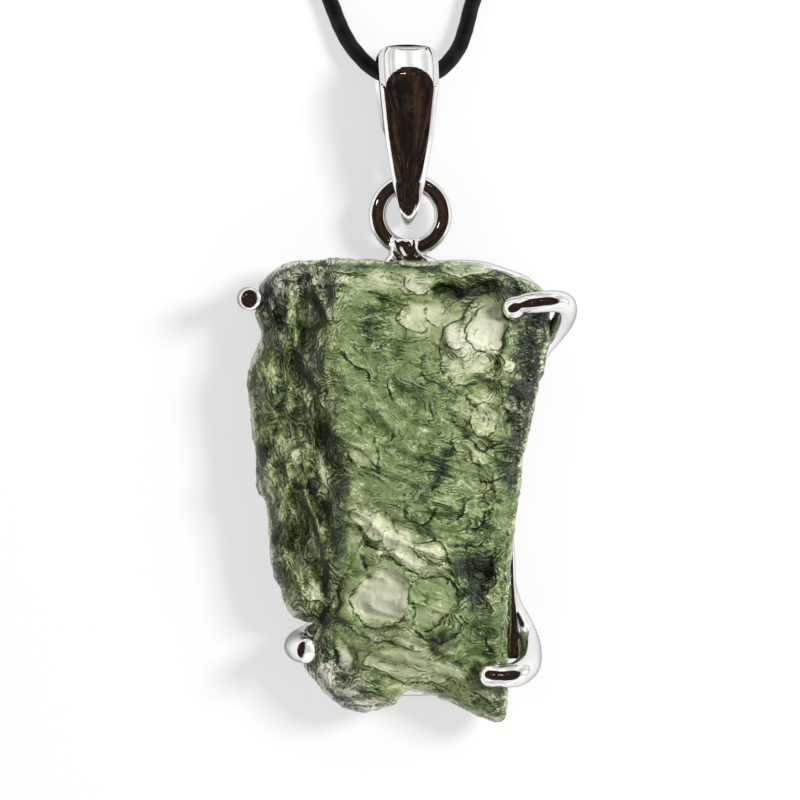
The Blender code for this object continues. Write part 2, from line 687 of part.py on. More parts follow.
def main():
    clear_scene()
    glass = make_material("moldavite", (0.16, 0.24, 0.08), 0.15, transmission=0.9)
    silver = make_material("silver", (0.93, 0.91, 0.87), 0.08, metallic=1.0)
    cloth = make_material("waxed_cord", (0.012, 0.012, 0.014), 0.55)

    swing = bpy.data.objects.new("ring_swing", None)
    swing.location = Vector((0.0, HINGE_Y, HINGE_Z)) * MM
    bpy.context.scene.collection.objects.link(swing)

    frame = build_frame("back_frame", silver)
    frame_room = hide_cutter(build_frame("frame_room", grow=TOUCH_GAP))
    ring = build_ring("jump_ring", silver)
    ring_room = hide_cutter(build_ring("ring_room", grow=TOUCH_GAP))
    seat = build_seat(silver, [frame_room, ring_room])

    pendant = [frame, ring, seat]
    stone_cutters = [frame_room]
    for name, points in PRONGS.items():
        wire = build_prong(f"{name}_wire", points)
        prong = solid_copy(wire, name)
        prong.data.materials.append(silver)
        prong.data.shade_smooth()
        cut(prong, frame_room)
        pendant.append(prong)
        room = build_prong(f"{name}_grown", points, grow=TOUCH_GAP)
        stone_cutters.append(hide_cutter(solid_copy(room, f"{name}_room")))
        bpy.data.objects.remove(wire)
        bpy.data.objects.remove(room)
    pendant.append(build_stone(glass, stone_cutters))

    build_bail(silver)
    build_cord_run("cord_run", CORD_RUN, RUN_ENDS, cloth)
    build_cord_run("cord_tail", CORD_TAIL, TAIL_ENDS, cloth)
    build_coil(cloth)
    build_knot(cloth)

    bpy.context.view_layer.update()
    for piece in pendant:
        piece.parent = swing
        piece.matrix_parent_inverse = swing.matrix_world.inverted()


main()
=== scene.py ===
"""A rough moldavite in a silver claw setting, on its back on a pale floor, seen from straight above."""

import math

import bmesh
import bpy
import numpy as np
from mathutils import Matrix, Vector, noise


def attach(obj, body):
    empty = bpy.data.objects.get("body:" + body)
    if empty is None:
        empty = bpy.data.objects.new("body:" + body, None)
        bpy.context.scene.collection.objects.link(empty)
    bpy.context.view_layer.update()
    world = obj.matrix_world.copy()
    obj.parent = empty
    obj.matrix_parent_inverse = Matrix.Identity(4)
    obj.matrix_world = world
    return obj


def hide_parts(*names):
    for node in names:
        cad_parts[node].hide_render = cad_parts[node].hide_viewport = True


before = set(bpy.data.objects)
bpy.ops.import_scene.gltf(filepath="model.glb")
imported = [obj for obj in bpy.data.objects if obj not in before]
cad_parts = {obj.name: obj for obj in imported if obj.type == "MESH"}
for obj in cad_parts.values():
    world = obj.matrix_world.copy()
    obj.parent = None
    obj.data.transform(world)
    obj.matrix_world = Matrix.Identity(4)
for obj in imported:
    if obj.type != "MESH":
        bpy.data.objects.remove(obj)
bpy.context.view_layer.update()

MM = 0.001  # lengths below are in millimetres, and MM turns them into metres

# View, light and floor
VIEW_CENTRE = (-0.48, -1.21)
VIEW_WIDTH = 58.8
VIEW_HEIGHT = 4.0
CAMERA_DISTANCE = 450.0
CAMERA_CLIPS = (0.01, 10.0)  # in metres
SENSOR = 36.0
# The world: the bright tent round the horizon and the dark room overhead, as colours that noise mixes.
# Such a noise is given by its scale, its detail and the two values between which it changes.
TENT_COLOURS = [(0.66, 0.65, 0.64), (1.22, 1.21, 1.20)]
TENT_NOISE = (2.2, 2.0, 0.40, 0.62)
ROOM_COLOURS = [(0.012, 0.010, 0.010), (0.060, 0.034, 0.020)]
ROOM_NOISE = (11.0, 2.0, 0.42, 0.68)
ROOM_GLOW = (0.16, 0.085, 0.045)
ROOM_GLOW_NOISE = (23.0, 2.0, 0.60, 0.74)
ROOM_EDGE = (0.68, 0.76)  # heights on the unit sphere between which the tent ends
ROOM_EDGE_UNEVEN = 0.10
ROOM_EDGE_NOISE = (7.0, 3.0)
# Lamps: name, place, target, size, power, length, colour, and whether the silver mirrors it
LAMPS = [
    ("key", (330, 120, 330), (-2, -6, 0), 150, 2.6, 150, (1.0, 1.0, 1.0), False),
    ("strip lamp", (-112, 75, 600), (0, 19, 4), 11, 0.0075, 58, (1.0, 1.0, 1.0), True),
    ("warm lamp", (62, 118, 600), (0, 19, 4), 13, 0.0022, 13, (1.0, 0.78, 0.5), True),
]
FLOOR_REACH = 1500.0
FLOOR_Z = -0.02
FLOOR_COLOUR = (0.327, 0.327, 0.329, 1.0)
FLOOR_GLOW = 0.637  # keeps the paper near white away from the shadows

scene = bpy.context.scene
scene.view_settings.view_transform = "Standard"
scene.cycles.caustics_reflective = False
scene.cycles.caustics_refractive = False
scene.cycles.max_bounces = 16
scene.cycles.transmission_bounces = 14


def link(obj):
    scene.collection.objects.link(obj)
    return obj


def add_camera():
    camera = bpy.data.cameras.new("camera")
    camera.sensor_width = SENSOR
    camera.lens = SENSOR * CAMERA_DISTANCE / VIEW_WIDTH
    camera.clip_start, camera.clip_end = CAMERA_CLIPS
    obj = link(bpy.data.objects.new("camera", camera))
    height = VIEW_HEIGHT + CAMERA_DISTANCE
    obj.location = Vector((*VIEW_CENTRE, height)) * MM
    scene.camera = obj


def add_world():
    """A bright uneven horizon and a dark warm zenith, as under a camera in a white tent."""
    world = bpy.data.worlds.new("studio")
    world.use_nodes = True
    scene.world = world
    n = Nodes("", tree=world.node_tree)
    n.tree.nodes.clear()
    out = n.tree.nodes.new("ShaderNodeOutputWorld")
    sky = n.tree.nodes.new("ShaderNodeBackground")
    way = n.tree.nodes.new("ShaderNodeTexCoord").outputs["Generated"]
    split = n.node("ShaderNodeSeparateXYZ", {0: way})
    height = n.plus(split.outputs["Z"], ROOM_EDGE_UNEVEN, n.noise(way, *ROOM_EDGE_NOISE))
    tent = n.mix(n.spread(way, TENT_NOISE), *TENT_COLOURS)
    room = n.mix(n.spread(way, ROOM_NOISE), *ROOM_COLOURS)
    room = n.mix(n.spread(way, ROOM_GLOW_NOISE), room, ROOM_GLOW)
    n.put(sky.inputs["Color"], n.mix(n.remap(height, *ROOM_EDGE), tent, room))
    n.put(out.inputs["Surface"], sky.outputs[0])


def add_light(name, place, target, size, power, length, colour, mirrored):
    light = bpy.data.lights.new(name, "AREA")
    light.shape = "ELLIPSE"
    light.size = size * MM
    light.size_y = length * MM
    light.energy = power
    light.color = colour
    obj = link(bpy.data.objects.new(name, light))
    obj.visible_glossy = mirrored
    obj.location = Vector(place) * MM
    aim = Vector(target) * MM - obj.location
    obj.rotation_euler = aim.to_track_quat("-Z", "Y").to_euler()


def add_floor():
    corners = [(-1, -1), (1, -1), (1, 1), (-1, 1)]
    places = [(x * FLOOR_REACH * MM, y * FLOOR_REACH * MM, FLOOR_Z * MM) for x, y in corners]
    mesh = bpy.data.meshes.new("floor")
    mesh.from_pydata(places, [], [(0, 1, 2, 3)])
    paper = Nodes("paper")
    paper.surface({
        "Base Color": FLOOR_COLOUR,
        "Roughness": 0.9,
        "Specular IOR Level": 0.1,
        "Emission Color": (1.0, 1.0, 1.0, 1.0),
        "Emission Strength": FLOOR_GLOW,
    })
    mesh.materials.append(paper.material)
    link(bpy.data.objects.new("floor", mesh))


# Shapes

CAP_ANGLES = [12, 25, 38, 50, 62, 72, 80, 86]  # where the rings of a wire's round end lie


def smoothstep(value):
    value = np.clip(value, 0.0, 1.0)
    return value * value * (3.0 - 2.0 * value)


def smooth_path(points, closed, steps=12):
    """Points along a smooth curve through the given ones, of any dimension."""
    places = np.array(points, float)
    count = len(places)
    dense = []
    for i in range(count if closed else count - 1):
        if closed:
            a, b, c, d = (places[(i + k) % count] for k in (-1, 0, 1, 2))
        else:
            a, b, c, d = (places[min(max(i + k, 0), count - 1)] for k in (-1, 0, 1, 2))
        slope = c - a
        square = 2.0 * a - 5.0 * b + 4.0 * c - d
        cube = 3.0 * b - a - 3.0 * c + d
        for t in np.arange(steps) / steps:
            dense.append(b + 0.5 * (slope * t + square * t**2 + cube * t**3))
    if not closed:
        dense.append(places[-1])
    return np.array(dense)


def lengths_along(line):
    """How far along a line each of its points is."""
    return np.concatenate([[0.0], np.cumsum(np.linalg.norm(np.diff(line, axis=0), axis=1))])


def evenly(dense, closed, spacing):
    """The same curve with its points about one spacing apart."""
    line = np.vstack([dense, dense[:1]]) if closed else dense
    reach = lengths_along(line)
    count = max(round(reach[-1] / spacing), 3)
    targets = np.linspace(0.0, reach[-1], count + 1)
    places = np.stack([np.interp(targets, reach, column) for column in line.T], axis=1)
    return places[:-1] if closed else places


def ring_faces(rings, size, closed):
    faces = []
    for i in range(rings if closed else rings - 1):
        low = i * size
        high = (i + 1) % rings * size
        for j in range(size):
            k = (j + 1) % size
            faces.append((low + j, low + k, high + k, high + j))
    if not closed:
        faces.append(tuple(reversed(range(size))))
        faces.append(tuple(range((rings - 1) * size, rings * size)))
    return faces


def loft_mesh(rings, closed):
    """A closed mesh in millimetres through rings of points, with its faces outward."""
    points = [tuple(point) for ring in rings for point in ring]
    mesh = bpy.data.meshes.new("loft")
    mesh.from_pydata(points, [], ring_faces(len(rings), len(rings[0]), closed))
    shape = bmesh.new()
    shape.from_mesh(mesh)
    bmesh.ops.recalc_face_normals(shape, faces=shape.faces)
    if shape.calc_volume(signed=True) < 0:
        bmesh.ops.reverse_faces(shape, faces=shape.faces)
    shape.to_mesh(mesh)
    shape.free()
    return mesh


def joined(meshes):
    """One mesh that holds several."""
    shape = bmesh.new()
    for mesh in meshes:
        shape.from_mesh(mesh)
    whole = bpy.data.meshes.new("joined")
    shape.to_mesh(whole)
    shape.free()
    return whole


def remeshed(mesh, voxel, smoothing=0):
    """The mesh as one skin on an even grid, its overlapping parts run together."""
    obj = link(bpy.data.objects.new("remesh", mesh))
    grid = obj.modifiers.new("grid", "REMESH")
    grid.mode = "VOXEL"
    grid.voxel_size = voxel
    if smoothing:
        soften = obj.modifiers.new("soften", "SMOOTH")
        soften.factor = 0.5
        soften.iterations = smoothing
    bpy.context.view_layer.update()
    graph = bpy.context.evaluated_depsgraph_get()
    result = bpy.data.meshes.new_from_object(obj.evaluated_get(graph))
    bpy.data.objects.remove(obj)
    return result


def vectors(items, field):
    """A vector field of a mesh's parts as one array."""
    flat = np.empty(len(items) * 3, np.float32)
    items.foreach_get(field, flat)
    return flat.reshape(-1, 3).astype(float)


def coordinates(mesh):
    return vectors(mesh.vertices, "co")


def vertex_normals(mesh):
    return vectors(mesh.vertex_normals, "vector")


def set_coordinates(mesh, places):
    mesh.vertices.foreach_set("co", np.ascontiguousarray(places, np.float32).ravel())
    mesh.update()


def piece(name, mesh, material, body, replaced, sharp=None):
    """A finished piece from a mesh in millimetres."""
    mesh.name = name
    mesh.transform(Matrix.Diagonal((MM, MM, MM, 1.0)))
    mesh.shade_smooth()
    if sharp:
        mesh.set_sharp_from_angle(angle=math.radians(sharp))
    mesh.materials.clear()
    mesh.materials.append(material)
    obj = link(bpy.data.objects.new(name, mesh))
    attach(obj, body)
    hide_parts(*replaced)
    return obj


def side_frames(path):
    """Two directions across a path at each of its points, turned as little as can be."""
    runs = np.gradient(path, axis=0)
    runs /= np.linalg.norm(runs, axis=1)[:, None]
    first = np.array([0.0, 0.0, 1.0]) if abs(runs[0][2]) < 0.9 else np.array([1.0, 0.0, 0.0])
    across = []
    previous = first
    for run in runs:
        previous = previous - run * np.dot(previous, run)
        previous = previous / np.linalg.norm(previous)
        across.append(previous)
    across = np.array(across)
    return across, np.cross(runs, across)


def full_turn(sides):
    return np.linspace(0.0, 2.0 * math.pi, sides, endpoint=False)


def around(place, radius, one, two, turns):
    """A ring of points round a place, across the directions one and two."""
    radius = np.broadcast_to(radius, turns.shape)[:, None]
    return place + radius * (np.cos(turns)[:, None] * one + np.sin(turns)[:, None] * two)


def wire_mesh(path, radii, sides, cap):
    """A round wire whose radius follows the path. Its tail is a half-ball, and its tip a flatter cap."""
    path = np.array(path, float)
    radii = np.array(radii, float)
    ahead = path[-1] - path[-2]
    ahead /= np.linalg.norm(ahead)
    behind = path[0] - path[1]
    behind /= np.linalg.norm(behind)
    angles = np.radians(CAP_ANGLES)
    tip = path[-1] + np.outer(radii[-1] * cap * np.sin(angles), ahead)
    tail = path[0] + np.outer(radii[0] * np.sin(angles[::-1]), behind)
    whole = np.vstack([tail, path, tip])
    widths = np.concatenate([radii[0] * np.cos(angles[::-1]), radii, radii[-1] * np.cos(angles)])
    turns = full_turn(sides)
    frames = zip(whole, widths, *side_frames(whole))
    return loft_mesh([around(place, width, a, b, turns) for place, width, a, b in frames], closed=False)


# Materials


class Nodes:
    """A short way to write a node tree."""

    def __init__(self, name, tree=None):
        if tree:
            self.tree = tree
            return
        self.material = bpy.data.materials.new(name)
        self.material.use_nodes = True
        self.tree = self.material.node_tree
        self.shader = self.tree.nodes["Principled BSDF"]
        self.output = self.tree.nodes["Material Output"]

    def node(self, kind, values=(), **settings):
        made = self.tree.nodes.new(kind)
        for key, value in settings.items():
            setattr(made, key, value)
        for key, value in dict(values).items():
            self.put(made.inputs[key], value)
        return made

    def put(self, socket, value):
        if isinstance(value, bpy.types.NodeSocket):
            self.tree.links.new(value, socket)
        else:
            socket.default_value = value

    def surface(self, values):
        """Sets inputs of the shader."""
        for name, value in values.items():
            self.put(self.shader.inputs[name], value)

    def place(self):
        """Object coordinates in millimetres."""
        coord = self.node("ShaderNodeTexCoord").outputs["Object"]
        return self.node("ShaderNodeMapping", {"Vector": coord, "Scale": [1 / MM] * 3}).outputs[0]

    def noise(self, vector, scale, detail, roughness=0.5):
        values = {"Vector": vector, "Scale": scale, "Detail": detail, "Roughness": roughness}
        return self.node("ShaderNodeTexNoise", values).outputs[0]

    def math(self, operation, a, b=0.0, c=0.0):
        return self.node("ShaderNodeMath", {0: a, 1: b, 2: c}, operation=operation).outputs[0]

    def minus(self, a, b):
        return self.math("SUBTRACT", a, b)

    def plus(self, value, amount, share, mask=None):
        """The value with an amount added where the share is 1, and the mask too if there is one."""
        if mask is not None:
            share = self.math("MULTIPLY", share, mask)
        return self.math("MULTIPLY_ADD", share, amount, value)

    def remap(self, value, low, high, to_low=0.0, to_high=1.0):
        ends = {"Value": value, "From Min": low, "From Max": high, "To Min": to_low, "To Max": to_high}
        return self.node("ShaderNodeMapRange", ends, interpolation_type="SMOOTHSTEP").outputs[0]

    def spread(self, vector, cloud, low=0.0, high=1.0):
        """Noise that goes from low to high between two of its values."""
        scale, detail, start, end = cloud
        return self.remap(self.noise(vector, scale, detail), start, end, low, high)

    def mix(self, share, a, b):
        made = self.node("ShaderNodeMix", data_type="RGBA")
        self.put(made.inputs["Factor"], share)
        self.put(made.inputs[6], a if isinstance(a, bpy.types.NodeSocket) else (*a, 1.0))
        self.put(made.inputs[7], b if isinstance(b, bpy.types.NodeSocket) else (*b, 1.0))
        return made.outputs[2]

    def attribute(self, name):
        return self.node("ShaderNodeAttribute", attribute_name=name).outputs["Fac"]

    def bump(self, height, distance, strength, after=None):
        values = {"Height": height, "Distance": distance * MM, "Strength": strength}
        if after is not None:
            values["Normal"] = after
        return self.node("ShaderNodeBump", values).outputs[0]

    def relief(self, vector, grain, strength, after=None):
        """A bump of noise."""
        scale, detail, height = grain
        return self.bump(self.noise(vector, scale, detail), height, strength, after)


# Silver, clean and worn. A relief is given by the scale, the detail and the height of its noise.
SILVER_COLOURS = [(0.90, 0.893, 0.885), (0.84, 0.828, 0.81)]
SILVER_WEAR = (0.35, 3.0, 0.4, 0.7)
SILVER_EDGE_TINT = (0.42, 0.41, 0.40, 1.0)
SILVER_ROUGHNESS = (0.03, 0.09)
SILVER_RUBBED = (2.6, 4.0, 0.35, 0.75)
SILVER_WAVES = (0.55, 2.0, 0.05)
SILVER_GRAIN = (3.5, 3.0, 0.006)
SILVER_BUMP = 0.5
# Cord, waxed black and rubbed paler
CORD_COLOURS = [(0.004, 0.004, 0.005), (0.012, 0.012, 0.014)]
CORD_BLOOM = (0.7, 2.0, 0.4, 0.75)
CORD_ROUGHNESS = (0.38, 0.62)
CORD_FIBRE = (7.0, 4.0, 0.3, 0.7)
CORD_FIBRE_RELIEF = (7.0, 4.0, 0.03)
CORD_BUMP = 0.6
CORD_SHINE = 0.18


def silver_material():
    n = Nodes("silver_polish")
    place = n.place()
    waves = n.relief(place, SILVER_WAVES, SILVER_BUMP)
    n.surface({
        "Base Color": n.mix(n.spread(place, SILVER_WEAR), *SILVER_COLOURS),
        "Metallic": 1.0,
        "Specular Tint": SILVER_EDGE_TINT,
        "Roughness": n.spread(place, SILVER_RUBBED, *SILVER_ROUGHNESS),
        "Normal": n.relief(place, SILVER_GRAIN, SILVER_BUMP, after=waves),
    })
    return n.material


def cord_material():
    n = Nodes("waxed_cord")
    place = n.place()
    n.surface({
        "Base Color": n.mix(n.spread(place, CORD_BLOOM), *CORD_COLOURS),
        "Roughness": n.spread(place, CORD_FIBRE, *CORD_ROUGHNESS),
        "Specular IOR Level": CORD_SHINE,
        "Normal": n.relief(place, CORD_FIBRE_RELIEF, CORD_BUMP),
    })
    return n.material


# Cord
CORD_DIAMETER = 1.20
CORD_LENGTH = 450.0
CORD_UNCOILED = 41.0
COIL_CENTRE = (-0.60, 41.60)
COIL_MEAN_RADIUS = 6.80
COIL_TURNS = (CORD_LENGTH - CORD_UNCOILED) / 2 / (2 * math.pi * COIL_MEAN_RADIUS)
LOW_LAYER_Z = 0.62
HIGH_LAYER_Z = 1.82
COIL_START = math.radians(-10)
# The cord from the coil through the bail's eye to the knot, and from the knot back to the coil
CORD_RUN = [
    (-8.62, 35.40, 0.62), (-7.35, 32.20, 0.62), (-6.25, 29.80, 0.62), (-5.55, 28.10, 0.62),
    (-4.78, 26.20, 0.72), (-3.80, 24.60, 1.05), (-2.17, 23.08, 1.50), (0.10, 22.45, 1.60),
    (2.32, 23.10, 1.50), (3.72, 24.60, 1.05), (4.36, 26.20, 0.72), (4.85, 28.10, 0.62),
    (5.55, 29.90, 0.80), (6.70, 31.35, 1.20), (8.00, 32.60, 1.45),
]
CORD_TAIL = [(8.00, 32.60, 1.45), (8.75, 34.40, 1.50), (9.35, 36.60, 1.62)]
KNOT_CENTRE = (8.00, 32.60, 1.46)
KNOT_RADII = (1.75, 1.95, 1.42)
KNOT_TURN = math.radians(-35)
KNOT_SMOOTHING = 3
STRAND = 0.50  # radius of the cord where the knot squeezes it
KNOT_STEPS = 120
KNOT_SIDES = 14
KNOT_CORE = 0.62  # size of the ball inside the knot, as a share of the knot
KNOT_CORE_LATITUDES = np.radians(np.linspace(-84, 84, 11))
KNOT_GRID = 0.11
COIL_STEPS = 48  # points in one turn of the coil
COIL_SINK = 0.5  # share of a turn in which the cord goes down to the lower layer
CORD_STEP = 0.17
CORD_SIDES = 18
CORD_BODY = 0.975  # radius between the strands, as a share of the cord's
STRANDS = 3  # strands that wind each way round the cord
STRAND_RELIEF = 0.03
STRAND_PITCH = 2.4


def coil_points():
    """The coil: the upper layer inwards, then the lower layer outwards."""
    wound = np.arange(0.0, 2 * COIL_TURNS + 1e-9, 1 / COIL_STEPS)
    past_inner_end = wound - COIL_TURNS
    radius = COIL_MEAN_RADIUS + CORD_DIAMETER * (np.abs(past_inner_end) - COIL_TURNS / 2)
    sink = smoothstep(past_inner_end / COIL_SINK + 0.5)
    angle = COIL_START + 2 * math.pi * wound
    x = COIL_CENTRE[0] + radius * np.cos(angle)
    y = COIL_CENTRE[1] + radius * np.sin(angle)
    return np.column_stack([x, y, HIGH_LAYER_Z + (LOW_LAYER_Z - HIGH_LAYER_Z) * sink])


def cord_route():
    coil = coil_points()[2:-2]
    tail = smooth_path([*CORD_TAIL, coil[0]], closed=False)
    run = smooth_path([coil[-1], *CORD_RUN], closed=False)
    return evenly(np.vstack([tail[:-1], coil[:-1], run]), closed=False, spacing=CORD_STEP)


def build_cord(material):
    """A round braided cord: two sets of strands wound opposite ways."""
    route = cord_route()
    turns = full_turn(CORD_SIDES)
    rings = []
    for place, along, a, b in zip(route, lengths_along(route), *side_frames(route)):
        wound = 2 * math.pi / STRAND_PITCH * along
        weave = np.cos(STRANDS * turns + wound) * np.cos(STRANDS * turns - wound)
        radius = CORD_DIAMETER / 2 * (CORD_BODY + STRAND_RELIEF * weave)
        rings.append(around(place, radius, a, b, turns))
    mesh = loft_mesh(rings, closed=False)
    cord = piece("cord", mesh, material, "bail", ["cord_run", "cord_tail", "cord_coil"])
    knot = build_knot(material)


def build_knot(material):
    """The two ends tied together: a strand wound through itself and pulled tight."""
    turn = np.array(Matrix.Rotation(KNOT_TURN, 3, "Z"))
    t = full_turn(KNOT_STEPS)
    trefoil = np.column_stack([
        (np.sin(t) + 2 * np.sin(2 * t)) / 3,
        (np.cos(t) - 2 * np.cos(2 * t)) / 3,
        -np.sin(3 * t),
    ])
    path = np.array(KNOT_CENTRE) + (trefoil * (np.array(KNOT_RADII) - STRAND)) @ turn.T
    one, two = side_frames(np.vstack([path, path[:2]]))
    turns = full_turn(KNOT_SIDES)
    rings = [around(place, STRAND, a, b, turns) for place, a, b in zip(path, one, two)]
    strand = loft_mesh([*rings, rings[0]], closed=False)
    ball = []
    for latitude in KNOT_CORE_LATITUDES:
        wide, tall = math.cos(latitude), math.sin(latitude)
        circle = np.column_stack([wide * np.cos(turns), wide * np.sin(turns), np.full(KNOT_SIDES, tall)])
        ball.append(np.array(KNOT_CENTRE) + (circle * np.array(KNOT_RADII) * KNOT_CORE) @ turn.T)
    mesh = remeshed(joined([strand, loft_mesh(ball, closed=False)]), KNOT_GRID, KNOT_SMOOTHING)
    return piece("knot", mesh, material, "bail", ["cord_knot"])


# Bail
HINGE_Y = 14.84
HINGE_Z = 2.0
BAIL_X = 0.21
BAIL_TILT = math.radians(2.7)
BAIL_TIP = 3.12
BAIL_TIP_DEPTH = 1.90
BAIL_RING_CLEARANCE = 1.30
BAIL_STRAIGHT = 7.80
BAIL_TOP_DEPTH = 2.25
BAIL_TOP_RISE = 2.24
BAIL_EYE_RADIUS = 1.58
BAIL_BEVEL = 0.38
# The edge of the band from its side to its face: how far in and how far down each point is
BAIL_EDGE = [(0.0, 0.39), (0.015, 0.29), (0.06, 0.21), (0.19, 0.115), (0.35, 0.04), (0.38, 0.03)]
BAIL_DOME = 0.14
BAIL_CAMBER = 0.13  # how far its straight part bows outward
BAIL_SHOULDER = 1.65  # how much sooner the band folds over at its sides than in its middle
BAIL_FOLD_START = 8.60
BAIL_FOLD_SLOPE = 0.57
BAIL_FRONT_EYE = 1.15
BAIL_NOSE = 3.0
BAIL_THINNEST = 0.30
BAIL_TIP_SQUARENESS = 4.0
BAIL_ROLL = math.radians(5.2)
BAIL_INSIDE_EXTRA = 0.6
BAIL_BACK_BEVEL = 0.24
BAIL_EYE_SHARE = 0.9  # the part of the eye's depth up to which the front half keeps its thinnest metal
BAIL_BEVEL_SHARE = 0.45  # the most of the half-width that a bevel takes
BAIL_BACK_NARROWER = 0.45  # the back half is slimmer where the ring swings round it
BAIL_SLIM_REACH = 2.2  # how far from the ring it stays slim, and over what length it widens again
BAIL_SLIM_FADE = 3.0
BAIL_WALL = 0.05  # the least width that is left between the band's inside and its side
BAIL_COLUMNS = 20  # points from its middle to its bevel
BAIL_TIP_STEPS = 22
BAIL_STRAIGHT_STEPS = 130
BAIL_NOSE_STEPS = 60
BAIL_CREASE = 17  # in degrees: sharper edges than this stay sharp
BAIL_HALF_WIDTHS = [
    (-3.12, 0.12), (-3.00, 0.34), (-2.70, 0.52), (-2.40, 0.66), (-1.60, 0.88), (0.20, 1.24), (2.40, 1.62),
    (3.80, 1.82), (6.10, 2.06), (7.20, 2.17), (8.20, 2.20), (9.10, 2.20), (9.60, 2.14), (10.04, 1.96),
]


def bail_half_width(along):
    curve = smooth_path(BAIL_HALF_WIDTHS, closed=False)
    return float(np.interp(along, curve[:, 0], curve[:, 1]))


def bail_stations(eye):
    """Outer and inner places of the band along one half, from the tip to the top."""
    stations = []
    for k in range(BAIL_TIP_STEPS):
        angle = math.pi / 2 * k / BAIL_TIP_STEPS
        share = math.sin(angle)
        along = -BAIL_TIP * (1 - share**BAIL_TIP_SQUARENESS) ** (1 / BAIL_TIP_SQUARENESS)
        inner = (-BAIL_RING_CLEARANCE * math.cos(angle), BAIL_RING_CLEARANCE * math.sin(angle))
        stations.append(((along, BAIL_TIP_DEPTH * share), inner))
    for share in np.arange(BAIL_STRAIGHT_STEPS) / BAIL_STRAIGHT_STEPS:
        along = BAIL_STRAIGHT * share
        outer = BAIL_TIP_DEPTH + (BAIL_TOP_DEPTH - BAIL_TIP_DEPTH) * share
        outer += BAIL_CAMBER * 4 * share * (1 - share)
        inner = BAIL_RING_CLEARANCE + (eye - BAIL_RING_CLEARANCE) * share
        stations.append(((along, outer), (along, inner)))
    for k in range(BAIL_NOSE_STEPS + 1):
        angle = math.pi / 2 * (1 - k / BAIL_NOSE_STEPS)
        outer = (BAIL_STRAIGHT + BAIL_TOP_RISE * math.cos(angle), BAIL_TOP_DEPTH * math.sin(angle))
        inner = (BAIL_STRAIGHT + BAIL_EYE_RADIUS * math.cos(angle), eye * math.sin(angle))
        stations.append((outer, inner))
    return stations


def nose_depth(along):
    """The band's outside where it turns over the cord, fuller than a circle."""
    past = min(max(along - BAIL_STRAIGHT, 0.0) / BAIL_TOP_RISE, 1.0)
    return BAIL_TOP_DEPTH * (1 - past**BAIL_NOSE) ** (1 / BAIL_NOSE)


def folded_depth(along, depth, share):
    """The outside of the front half: past a round line it slopes down to the nose."""
    start = BAIL_FOLD_START - BAIL_SHOULDER * (1 - math.sqrt(max(1 - share**2, 0.0)))
    flat = max(depth, nose_depth(along)) if along > BAIL_STRAIGHT else depth
    if along <= start:
        return flat
    eye = max(along - BAIL_STRAIGHT, 0.0) / BAIL_EYE_RADIUS
    least = BAIL_FRONT_EYE * math.sqrt(max(1 - eye**2, 0.0)) + BAIL_THINNEST
    slope = BAIL_TOP_DEPTH - BAIL_FOLD_SLOPE * (along - start)
    return min(flat, nose_depth(along), max(slope, least * (eye < BAIL_EYE_SHARE)))


def bail_section(outer, inner, folded):
    """Across the band: a flat inside, bevelled edges and a domed outside."""
    wide = bail_half_width(outer[0])
    inside = min(bail_half_width(inner[0]), wide + BAIL_INSIDE_EXTRA)
    if folded:
        inside -= BAIL_WALL
    else:
        slim = 1.0 - smoothstep((abs(outer[0]) - BAIL_SLIM_REACH) / BAIL_SLIM_FADE)
        wide -= BAIL_BACK_NARROWER * slim * min(wide, 1.0)
        inside = min(inside - BAIL_BACK_BEVEL, wide - BAIL_WALL * min(wide, 1.0))
    bevel = min(BAIL_BEVEL, BAIL_BEVEL_SHARE * wide)
    small = bevel / BAIL_BEVEL
    toward = np.array(inner) - np.array(outer)
    toward /= np.linalg.norm(toward)
    half = [(wide - inward * small, drop) for inward, drop in BAIL_EDGE]
    flat = wide - bevel
    for k in range(1, BAIL_COLUMNS):
        share = math.sqrt(1 - (k / BAIL_COLUMNS) ** 2)
        half.append((flat * share, -BAIL_DOME * small * (1 - share**2)))
    across = [*half, (0.0, -BAIL_DOME * small), *[(-x, drop) for x, drop in reversed(half)]]
    ring = [(-inside, *inner), (inside, *inner)]
    for x, drop in across:
        place = np.array(outer) + toward * drop
        if folded:
            place[1] = folded_depth(place[0], place[1], min(abs(x) / flat, 1.0))
        ring.append((x, place[0], place[1]))
    return ring


def build_bail(material):
    rings = [bail_section(outer, inner, True) for outer, inner in bail_stations(BAIL_FRONT_EYE)]
    for outer, inner in reversed(bail_stations(BAIL_EYE_RADIUS)[1:-1]):
        rings.append(bail_section((outer[0], -outer[1]), (inner[0], -inner[1]), False))
    mesh = loft_mesh(rings, closed=True)
    turn = Matrix.Rotation(BAIL_TILT, 4, "X") @ Matrix.Rotation(BAIL_ROLL, 4, "Y")
    aside = BAIL_X - BAIL_TIP_DEPTH * math.sin(BAIL_ROLL)
    mesh.transform(Matrix.Translation(Vector((aside, HINGE_Y, HINGE_Z))) @ turn)
    return piece("bail_polished", mesh, material, "bail", ["bail"], sharp=BAIL_CREASE)


